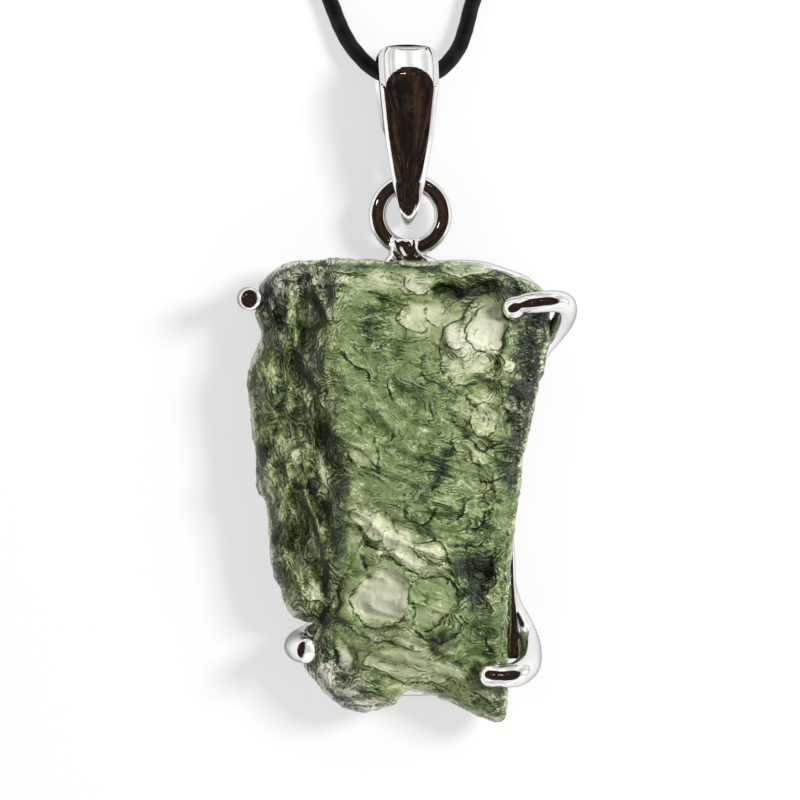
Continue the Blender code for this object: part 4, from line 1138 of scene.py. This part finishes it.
def shell_rings(outline, count):
    """The outline drawn in towards the heart, ring by ring, with each ring's depth in the stone."""
    for k in range(count):
        share = (k / count) ** RING_CROWDING
        places = outline + (np.array(STONE_HEART) - outline) * share
        yield places, distance_to_line(places, outline[::3], closed=True) if k else np.zeros(len(outline))


def stone_shell(outline):
    """The stone's plain form, front and back."""
    front, back = [], []
    for places, depth in shell_rings(outline, FRONT_RINGS):
        crown = FRONT_CROWN * smoothstep(depth / FRONT_CROWN_REACH)
        front.append(np.column_stack([places, STONE_RIM_Z + FRONT_RIM_RISE * rim_round(depth) + crown]))
    for places, depth in shell_rings(outline, BACK_RINGS):
        bulge = BACK_BULGE * smoothstep((depth - BACK_BULGE_START) / BACK_BULGE_REACH)
        back.append(np.column_stack([places, STONE_RIM_Z - BACK_RIM_DROP * rim_round(depth) - bulge]))
    return loft_mesh(list(reversed(front)) + back[1:], closed=False)


def dish(xy, feature):
    """A smooth hollow with a firm rim, or a lump of the same form."""
    middle_x, middle_y, half_x, half_y, depth = feature
    q = np.hypot((xy[:, 0] - middle_x) / half_x, (xy[:, 1] - middle_y) / half_y)
    return depth * (1.0 - smoothstep((q - DISH_FLOOR) / (DISH_LIP - DISH_FLOOR)))


def ridge(xy, points, width, height):
    away = distance_to_line(xy, points, closed=False) / width
    return height * np.exp(-away * away)


def patch(xy, middle_x, middle_y, half_x, half_y, turn):
    """How much of a patch lies at each place: 1 in its core, 0 outside it."""
    angle = math.radians(turn)
    x = xy[:, 0] - middle_x
    y = xy[:, 1] - middle_y
    along = (x * math.cos(angle) + y * math.sin(angle)) / half_x
    across = (y * math.cos(angle) - x * math.sin(angle)) / half_y
    return 1.0 - smoothstep((np.hypot(along, across) - PATCH_CORE) / PATCH_FADE)


def etching(xy, layer, hollows=HOLLOWS):
    """The natural skin: folded noise, which has round hollows and sharp crests between them."""
    total = np.zeros(len(xy))
    rough = smoothstep((ROUGH_SIDE_X - xy[:, 0]) / ROUGH_SIDE_FADE)
    slanted = xy + SLANT * xy[:, ::-1]
    for size, depth in hollows:
        face, upright = (
            np.abs(layered(slanted, size * x, size * y, layer)) for x, y in (FACE_STRETCH, UPRIGHT_STRETCH)
        )
        wave = face + (upright - face) * rough
        total += depth * (HOLLOW_LEVEL - HOLLOW_STEEPNESS * wave)
    return total * (1.0 + (ROUGH_SIDE_GAIN - 1.0) * rough)


def smooth_floors(xy):
    """Where the face is smooth, from 0 to 1: the floors of the large dishes."""
    zone = np.zeros(len(xy))
    for feature in SMOOTH_DISHES:
        zone = np.maximum(zone, dish(xy, feature) / feature[4])
    return zone


def stepped(height, level):
    """The height cut into thin layers with worn edges."""
    share = level - np.floor(level)
    step = smoothstep((share - 1.0 + LAYER_EDGE) / LAYER_EDGE)
    return height + LAYER_STRENGTH * LAYER_HEIGHT * (step - share)


def face_relief(xy):
    """The height that the face's features add, their tone, how broken it is and its layers."""
    loose = bent(xy)
    height = sum(dish(loose, lump) for lump in LUMPS) - sum(dish(loose, hollow) for hollow in DISHES)
    height += sum(ridge(loose, *line) for line in RIDGES) - sum(ridge(loose, *line) for line in GROOVES)
    height += etching(xy, FACE_LAYER)
    tone = np.zeros(len(xy))
    broken = np.zeros(len(xy))
    for *shape, relief, shade in PATCHES:
        share = patch(loose, *shape)
        height += relief * share
        tone += shade * share
    level = height / LAYER_HEIGHT + LAYER_WANDER * layered(xy, WANDER_SIZE, WANDER_SIZE, WANDER_LAYER)
    height = stepped(height, level)
    for points, width, relief, shade in TRACES:
        share = ridge(loose, points, width, 1.0)
        height += relief * share
        tone += shade * share * (WIDE_TRACE_TONE if width > FINE_TRACE else FINE_TRACE_TONE)
        broken = np.maximum(broken, ridge(loose, points, BROKEN_REACH * width, 1.0))
    height += etching(loose, FACE_LAYER + 1, SMALL_HOLLOWS) * (1.0 - CALM * smooth_floors(loose))
    return height, tone, broken, level


def near_line(places, line, reach):
    """The numbers of the places within reach of the box round a line."""
    low = line.min(axis=0) - reach
    high = line.max(axis=0) + reach
    return np.flatnonzero(((places > low) & (places < high)).all(axis=1))


def side_of_line(xy, points):
    """The distance from a line, signed by the side of it, and how far that is from the line's ends."""
    side = np.full(len(xy), np.inf)
    from_end = np.zeros(len(xy))
    reach = lengths_along(points)
    for start, end, before, after in zip(points, points[1:], reach, reach[1:]):
        along, away = nearest_on_run(xy, start, end)
        run = end - start
        cross = run[0] * (xy - start)[:, 1] - run[1] * (xy - start)[:, 0]
        distance = np.linalg.norm(away, axis=1)
        nearer = distance < np.abs(side)
        side = np.where(nearer, np.copysign(distance, cross), side)
        reached = before + along * (after - before)
        from_end = np.where(nearer, np.minimum(reached, reach[-1] - reached), from_end)
    return side, from_end


def drawn_lines(xy):
    """The nearest fine line's signed distance, and how strongly that line shows at each place."""
    lines = []
    for points, width, _, shade in TRACES:
        if width <= FINE_TRACE and shade < 0:
            lines.append((smooth_path(points, closed=False, steps=4), min(-shade, STRONGEST_LINE)))
    for x, y, half_x, half_y, turn, _, shade in PATCHES:
        if shade >= PATCH_LINE_TONE:
            turned = np.array(Matrix.Rotation(math.radians(turn), 2))
            arc = np.column_stack([half_x * np.cos(PATCH_LINE_ANGLES), half_y * np.sin(PATCH_LINE_ANGLES)])
            lines.append((np.array([x, y]) + arc @ turned.T, PATCH_LINE_STRENGTH))
    side = np.full(len(xy), LINE_REACH)
    shown = np.zeros(len(xy))
    for points, strength in lines:
        near = near_line(xy, points, LINE_REACH)
        distance, from_end = side_of_line(xy[near], points)
        fade = 1.0 - smoothstep((np.abs(distance) - LINE_FADE_FROM) / LINE_FADE_OVER)
        share = strength * smoothstep(from_end / LINE_TAPER) * fade
        stronger = share > shown[near]
        shown[near] = np.where(stronger, share, shown[near])
        side[near] = np.where(stronger, distance, side[near])
    return side, shown


def slopes(mesh, values):
    """How a value of the points changes across the face, in x and in y."""
    ends = np.empty(2 * len(mesh.edges), np.int32)
    mesh.edges.foreach_get("vertices", ends)
    a, b = ends.reshape(-1, 2).T
    xy = coordinates(mesh)[:, :2]
    run = xy[b] - xy[a]
    rise = values[b] - values[a]
    weight = 1.0 / np.maximum((run**2).sum(axis=1), LEAST)
    sums = np.zeros((5, len(xy)))
    terms = (run[:, 0] ** 2, run[:, 0] * run[:, 1], run[:, 1] ** 2, run[:, 0] * rise, run[:, 1] * rise)
    for row, term in zip(sums, terms):
        row += np.bincount(a, term * weight, len(xy)) + np.bincount(b, term * weight, len(xy))
    xx, both, yy, x_rise, y_rise = sums
    scale = np.maximum(xx * yy - both**2, LEAST)
    return (yy * x_rise - both * y_rise) / scale, (xx * y_rise - both * x_rise) / scale


def weather(mesh, outline):
    """Moves the shell by the relief of its face, back and edge, and stores what its material reads."""
    places = coordinates(mesh)
    normals = vertex_normals(mesh)
    xy = places[:, :2]
    depth = distance_to_line(xy, outline[::2], closed=True)
    inside = smoothstep(depth / RELIEF_FADE)
    up = smoothstep(normals[:, 2] * RELIEF_SLOPE) * inside
    down = smoothstep(-normals[:, 2] * RELIEF_SLOPE) * inside
    height, tone, broken, level = face_relief(xy)
    slope_x, slope_y = slopes(mesh, level)
    steep = np.hypot(slope_x, slope_y)
    # How squarely each layer's edge faces the light, which sets how much painted shade it gets
    lit = -(slope_x * LIGHT_DIRECTION[0] + slope_y * LIGHT_DIRECTION[1]) / np.maximum(steep, LEAST_SLOPE)
    front = normals[:, 2] > 0
    moved = places.copy()
    moved[:, 2] += height * up - BACK_RELIEF * etching(xy, BACK_LAYER) * down
    crumple = sum(reach * noise_at(places / size) for size, reach in EDGE_CRUMPLE)
    moved += normals * np.array([1.0, 1.0, 0.0]) * (crumple * (1.0 - up - down))[:, None]
    set_coordinates(mesh, clear_of_wires(moved))
    # Painted light along the thin rim, where light comes through the edge, except on the right
    tone += RIM_PALE * (1.0 - smoothstep(depth / RIM_PALE_REACH)) * (xy[:, 0] < RIM_PALE_RIGHT_END)
    upright = smoothstep((ROUGH_SIDE_X - xy[:, 0]) / ROUGH_SIDE_FADE + UPRIGHT_OFFSET)
    loose = bent(xy)
    rough = ROUGH_EVERYWHERE + UPRIGHT_ROUGHNESS * upright + BROKEN_ROUGHNESS * broken
    for *shape, gain in ROUGH_PATCHES:
        rough += gain * patch(loose, *shape)
    side, shown = drawn_lines(loose)
    stored = {
        "level": level,
        "steep": steep,
        "lit": lit * smoothstep(steep / LIT_STEEPNESS) * front,
        "tone": tone,
        "tilt": np.sqrt(1.0 - np.minimum(vertex_normals(mesh)[:, 2] ** 2, 1.0)),
        "upright": upright,
        "faded": sum(fade * patch(loose, *shape) for *shape, fade in FADED_PATCHES),
        "from_rim": depth + BACK_FROM_RIM * (normals[:, 2] < BACK_NORMAL),
        "side": side,
        "line": shown * front,
        "rough": np.clip(rough, 0.0, 1.0) * (1.0 - CALM * smooth_floors(loose)),
    }
    for name, values in stored.items():
        layer = mesh.attributes.new(name, "FLOAT", "POINT")
        layer.data.foreach_set("value", values.astype(np.float32))


def clear_of_wires(places):
    """Moves points of the stone out of the claws and the frame, so that they lie against it."""
    lines = [curve(points, CLEAR_STEP) for points in PRONGS.values()]
    loop = [(x, y, CLEAR_FRAME_Z, CLEAR_FRAME_RADIUS) for x, y in curve(FRAME_PATH, FRAME_STEP, closed=True)]
    lines.append(np.array([*loop, loop[0]]))
    for line in lines:
        near = near_line(places, line[:, :3], CLEAR_REACH)
        for start, end in zip(line, line[1:]):
            along, away = nearest_on_run(places[near], start[:3], end[:3])
            distance = np.linalg.norm(away, axis=1)
            wanted = start[3] + along * (end[3] - start[3]) + STONE_CLEARANCE
            push = np.maximum(wanted - distance, 0.0) / np.maximum(distance, LEAST)
            places[near] += away * push[:, None]
    return places


def build_stone(material):
    outline = curve(STONE_OUTLINE, OUTLINE_SPACING, closed=True)
    mesh = stone_shell(outline)
    weather(mesh, outline)
    return piece("moldavite", mesh, material, "pendant", ["stone"])


GLASS_TONES = [
    (0.00, (0.004, 0.007, 0.003)), (0.16, (0.017, 0.033, 0.011)), (0.32, (0.086, 0.140, 0.046)),
    (0.46, (0.218, 0.315, 0.104)), (0.60, (0.358, 0.446, 0.202)), (0.78, (0.560, 0.600, 0.385)),
    (1.00, (0.760, 0.760, 0.575)),
]
# Folds in the skin: how tightly they wind along and across, their height and their place
FOLDS = [(0.80, 2.2, 0.20, 0.0), (1.7, 4.4, 0.09, 17.0)]
# The glass before its strokes: its middle tone, and what each thing adds to it
MIDDLE_TONE = 0.56
TONE_GAIN = 0.30
CLOUD_GAIN = 1.5
CLOUD_GRAIN = (0.55, 1.5, 3.0, 5.0)  # how tightly it winds along and across, its detail and its place
DRIFT_SCALE = 0.8
DRIFT_REACH = 1.1
WOBBLE_NOISE = (1.9, 4.0, 0.6)
# Painted shade on steep slopes: the tilts over which it comes in, and how much it darkens
TILTED = (0.45, 0.95)
TILT_PAINTED_SHADE = -0.10
DARKEST_GROUND = 0.17
# Strokes of painted shade and painted light in the glass: how far from its line each lies, its half-width and
# what it adds to the tone
STROKES = {
    "painted highlight above a layer": (0.17, 0.12, 0.13),
    "line": (0.0, 0.105, -0.52),
    "painted highlight beside a line": (0.19, 0.13, 0.13),
    "painted light through the rim": (0.16, 0.26, 0.30),
    "painted shade inside the rim": (0.52, 0.12, -0.30),
    "crack": (0.0, 0.035, -0.26),
    "painted highlight beside a crack": (0.06, 0.04, 0.10),
}
LAYER_LINE_HALF_WIDTH = 0.075
LAYER_NOISE = (1.5, 3.0)
LAYER_SHOWN = (0.53, 0.66)  # the layers' lines come up where the noise passes these, sooner where it is rough
LAYER_SHOWN_ROUGH = 0.25
LINE_BREAKS = (2.6, 2.0, 0.38, 0.50)
LINE_AT_BREAKS = 0.25
CRACK_NOISE = (2.2, 3.0, 0.6)
CRACKED = (1.1, 2.0, 0.52, 0.62)
# Painted shade on the layers' edges, less of it where an edge faces the light
LAYER_EDGE_PAINTED_SHADE = -0.30
LAYER_LINE_LIT_TONE = 0.24
LEAST_STEEP = 0.25
# How far noise bends each kind of stroke
LAYER_WOBBLE = 1.5
LINE_WOBBLE = 0.35
RIM_WOBBLE = 0.8
# The folds in the bump
TONE_RELIEF = 0.10
SMOOTH_FOLD = 0.2  # what is left of a fold where the skin is smooth
# The line of painted shade in the creases between folds: its width and how dark it is
CREASE_WIDTH = 0.018
CREASE_PAINTED_SHADE = -0.24
TONE_BUMP = 1.0
SKIN_RELIEF = (5.0, 3.0, 0.03)
SKIN_BUMP = 0.6
CLEAR_TONES = (0.4, 0.85)  # glass darker than the first is the clearest, and paler than the second the least
CLEARNESS = (0.55, 0.15)
GLASS_ROUGHNESS = (0.07, 0.22)
GLASS_RUBBED = (1.3, 2.0, 0.3, 0.7)
GLASS_IOR = 1.49
ABSORPTION_COLOUR = (0.60, 0.72, 0.42, 1.0)
ABSORPTION_DENSITY = 60.0
# Where the skin is roughest: patches as above, without relief, with their roughness
ROUGH_PATCHES = [
    (0.4, -20.4, 3.4, 1.3, -6, -0.22),
    (-1.2, -11.6, 3.4, 1.8, -20, -0.2), (-2.0, -15.6, 2.4, 2.3, 0, -0.2),
    (9.0, 0.5, 1.3, 6.5, 0, 0.8), (5.6, -14.2, 2.0, 2.6, 0, 0.6), (-7.0, 7.2, 3.0, 1.8, 0, 0.5),
    (6.5, -23.4, 1.6, 1.0, 0, 0.7), (-5.0, -22.4, 2.6, 1.6, -30, 0.4), (2.6, -6.6, 0.9, 1.8, 0, 0.3),
    (6.2, 7.2, 2.6, 0.8, 0, 0.3), (5.5, -9.4, 1.6, 1.6, 0, 0.3), (-2.0, 4.0, 1.0, 2.2, 0, 0.35),
]
ROUGH_EVERYWHERE = 0.30
# Where the green fades to a warm grey: patches without relief, with how much it fades
FADED_PATCHES = [
    (-8.6, 7.4, 2.6, 1.4, 0, 0.55), (-5.0, -22.2, 2.4, 1.7, -35, 0.75), (-10.4, 6.2, 1.0, 1.0, 0, 0.6),
    (5.2, 3.6, 2.4, 2.4, 0, 0.35), (-2.0, -16.2, 2.0, 1.4, 0, 0.20), (-6.6, -19.3, 0.8, 1.2, 0, 0.6),
    (-2.5, -23.6, 2.2, 0.6, -8, 0.6), (9.2, 5.0, 1.4, 2.4, 0, 0.3), (8.6, -1.0, 1.2, 4.5, 0, 0.25),
]
FADED_TINT = (1.04, 1.00, 0.84)


def stone_material():
    """Green glass whose colour carries painted shade and painted light: the dark strokes and pale patches
    where the etched skin breaks the light.
    """
    n = Nodes("moldavite_glass")
    place = n.place()
    drift = n.node("ShaderNodeTexNoise", {"Vector": place, "Scale": DRIFT_SCALE}).outputs["Color"]
    reach = n.node("ShaderNodeVectorMath", {0: drift, "Scale": DRIFT_REACH}, operation="SCALE").outputs[0]
    loose = n.node("ShaderNodeVectorMath", {0: place, 1: reach}, operation="ADD").outputs[0]
    upright = n.attribute("upright")
    rough = n.attribute("rough")

    def grained(along, across, detail, aside):
        """Noise drawn out sideways on the face and lengthways on the rough left side."""
        pair = []
        for scale in ((along, across, 1.0), (across, along, 1.0)):
            moved = {"Vector": loose, "Location": [aside] * 3, "Scale": scale}
            pair.append(n.noise(n.node("ShaderNodeMapping", moved).outputs[0], 1.0, detail))
        values = {"Factor": upright, 2: pair[0], 3: pair[1]}
        return n.minus(n.node("ShaderNodeMix", values, data_type="FLOAT").outputs[0], 0.5)

    def near(distance, half_width):
        """1 on a line, falling to 0 at its half-width."""
        return n.remap(n.math("ABSOLUTE", distance), 0.0, half_width, 1.0, 0.0)

    def stroke(value, kind, distance, mask):
        """The value with one kind of stroke added, at a distance from its line."""
        at, half_width, tone = STROKES[kind]
        return n.plus(value, tone, near(n.minus(distance, at), half_width), mask)

    wobble = n.minus(n.noise(place, *WOBBLE_NOISE), 0.5)
    value = n.math("MULTIPLY_ADD", n.attribute("tone"), TONE_GAIN, MIDDLE_TONE)
    value = n.plus(value, n.math("MULTIPLY", rough, CLOUD_GAIN), grained(*CLOUD_GRAIN))
    # Painted shade on the steeper slopes
    value = n.plus(value, TILT_PAINTED_SHADE, n.remap(n.attribute("tilt"), *TILTED))
    value = n.math("MAXIMUM", value, DARKEST_GROUND)

    # Painted shade on the edges of the thin layers, darker where they face away from the light, with a
    # painted highlight above each
    share = n.math("FRACT", n.plus(n.attribute("level"), LAYER_WOBBLE, wobble))
    steep = n.math("MAXIMUM", n.attribute("steep"), LEAST_STEEP)
    below = n.math("DIVIDE", n.minus(1.0, share), steep)
    above = n.math("DIVIDE", share, steep)
    edge = n.math("MAXIMUM", near(below, LAYER_LINE_HALF_WIDTH), near(above, LAYER_LINE_HALF_WIDTH))
    patchy = n.remap(n.plus(n.noise(loose, *LAYER_NOISE), LAYER_SHOWN_ROUGH, rough), *LAYER_SHOWN)
    edge_painted_shade = n.math("MULTIPLY_ADD", n.attribute("lit"), LAYER_LINE_LIT_TONE, LAYER_EDGE_PAINTED_SHADE)
    value = n.plus(value, edge_painted_shade, edge, patchy)
    value = stroke(value, "painted highlight above a layer", above, patchy)

    # The fine lines of painted shade, each with a painted highlight beside it, weaker here and there
    side = n.plus(n.attribute("side"), LINE_WOBBLE, wobble)
    shown = n.math("MULTIPLY", n.attribute("line"), n.spread(loose, LINE_BREAKS, LINE_AT_BREAKS))
    value = stroke(value, "line", side, shown)
    value = stroke(value, "painted highlight beside a line", side, shown)

    # The thin rim, with painted light where light comes through it and a line of painted shade inside it
    from_rim = n.plus(n.attribute("from_rim"), RIM_WOBBLE, wobble)
    value = stroke(value, "painted light through the rim", from_rim, patchy)
    value = stroke(value, "painted shade inside the rim", from_rim, patchy)

    # Fine cracks that run any way, drawn as thin lines of painted shade with a painted highlight beside each
    crack = n.minus(n.noise(loose, *CRACK_NOISE), 0.5)
    cracked = n.spread(loose, CRACKED)
    value = stroke(value, "crack", crack, cracked)
    value = stroke(value, "painted highlight beside a crack", crack, cracked)

    # The folds, with a line of painted shade in the crease where two of them meet
    relief = n.math("MULTIPLY", value, TONE_RELIEF)
    for along, across, height, aside in FOLDS:
        fold = n.math("ABSOLUTE", grained(along, across, 1.0, aside))
        relief = n.plus(relief, n.math("MULTIPLY_ADD", rough, height, SMOOTH_FOLD * height), fold)
        value = n.plus(value, CREASE_PAINTED_SHADE, n.remap(fold, 0.0, CREASE_WIDTH * across, 1.0, 0.0), rough)
    ramp = n.node("ShaderNodeValToRGB", {"Fac": value})
    elements = ramp.color_ramp.elements
    for k, (tone, colour) in enumerate(GLASS_TONES):
        element = elements[k] if k < 2 else elements.new(tone)
        element.position = tone
        element.color = (*colour, 1.0)
    grey = n.node("ShaderNodeRGBToBW", {"Color": ramp.outputs["Color"]}).outputs[0]
    beige = n.node("ShaderNodeVectorMath", {0: grey, 1: FADED_TINT}, operation="MULTIPLY").outputs[0]
    n.surface({
        "Base Color": n.mix(n.attribute("faded"), ramp.outputs["Color"], beige),
        "Transmission Weight": n.remap(value, *CLEAR_TONES, *CLEARNESS),
        "Roughness": n.spread(loose, GLASS_RUBBED, *GLASS_ROUGHNESS),
        "IOR": GLASS_IOR,
        "Normal": n.relief(loose, SKIN_RELIEF, SKIN_BUMP, after=n.bump(relief, TONE_BUMP, 1.0)),
    })
    haze = n.node("ShaderNodeVolumeAbsorption", {"Color": ABSORPTION_COLOUR, "Density": ABSORPTION_DENSITY})
    n.tree.links.new(haze.outputs[0], n.output.inputs["Volume"])
    return n.material


add_camera()
add_world()
for lamp in LAMPS:
    add_light(*lamp)
add_floor()
waxed = cord_material()
build_cord(waxed)
silver = silver_material()
build_bail(silver)
build_setting(silver)
build_stone(stone_material())
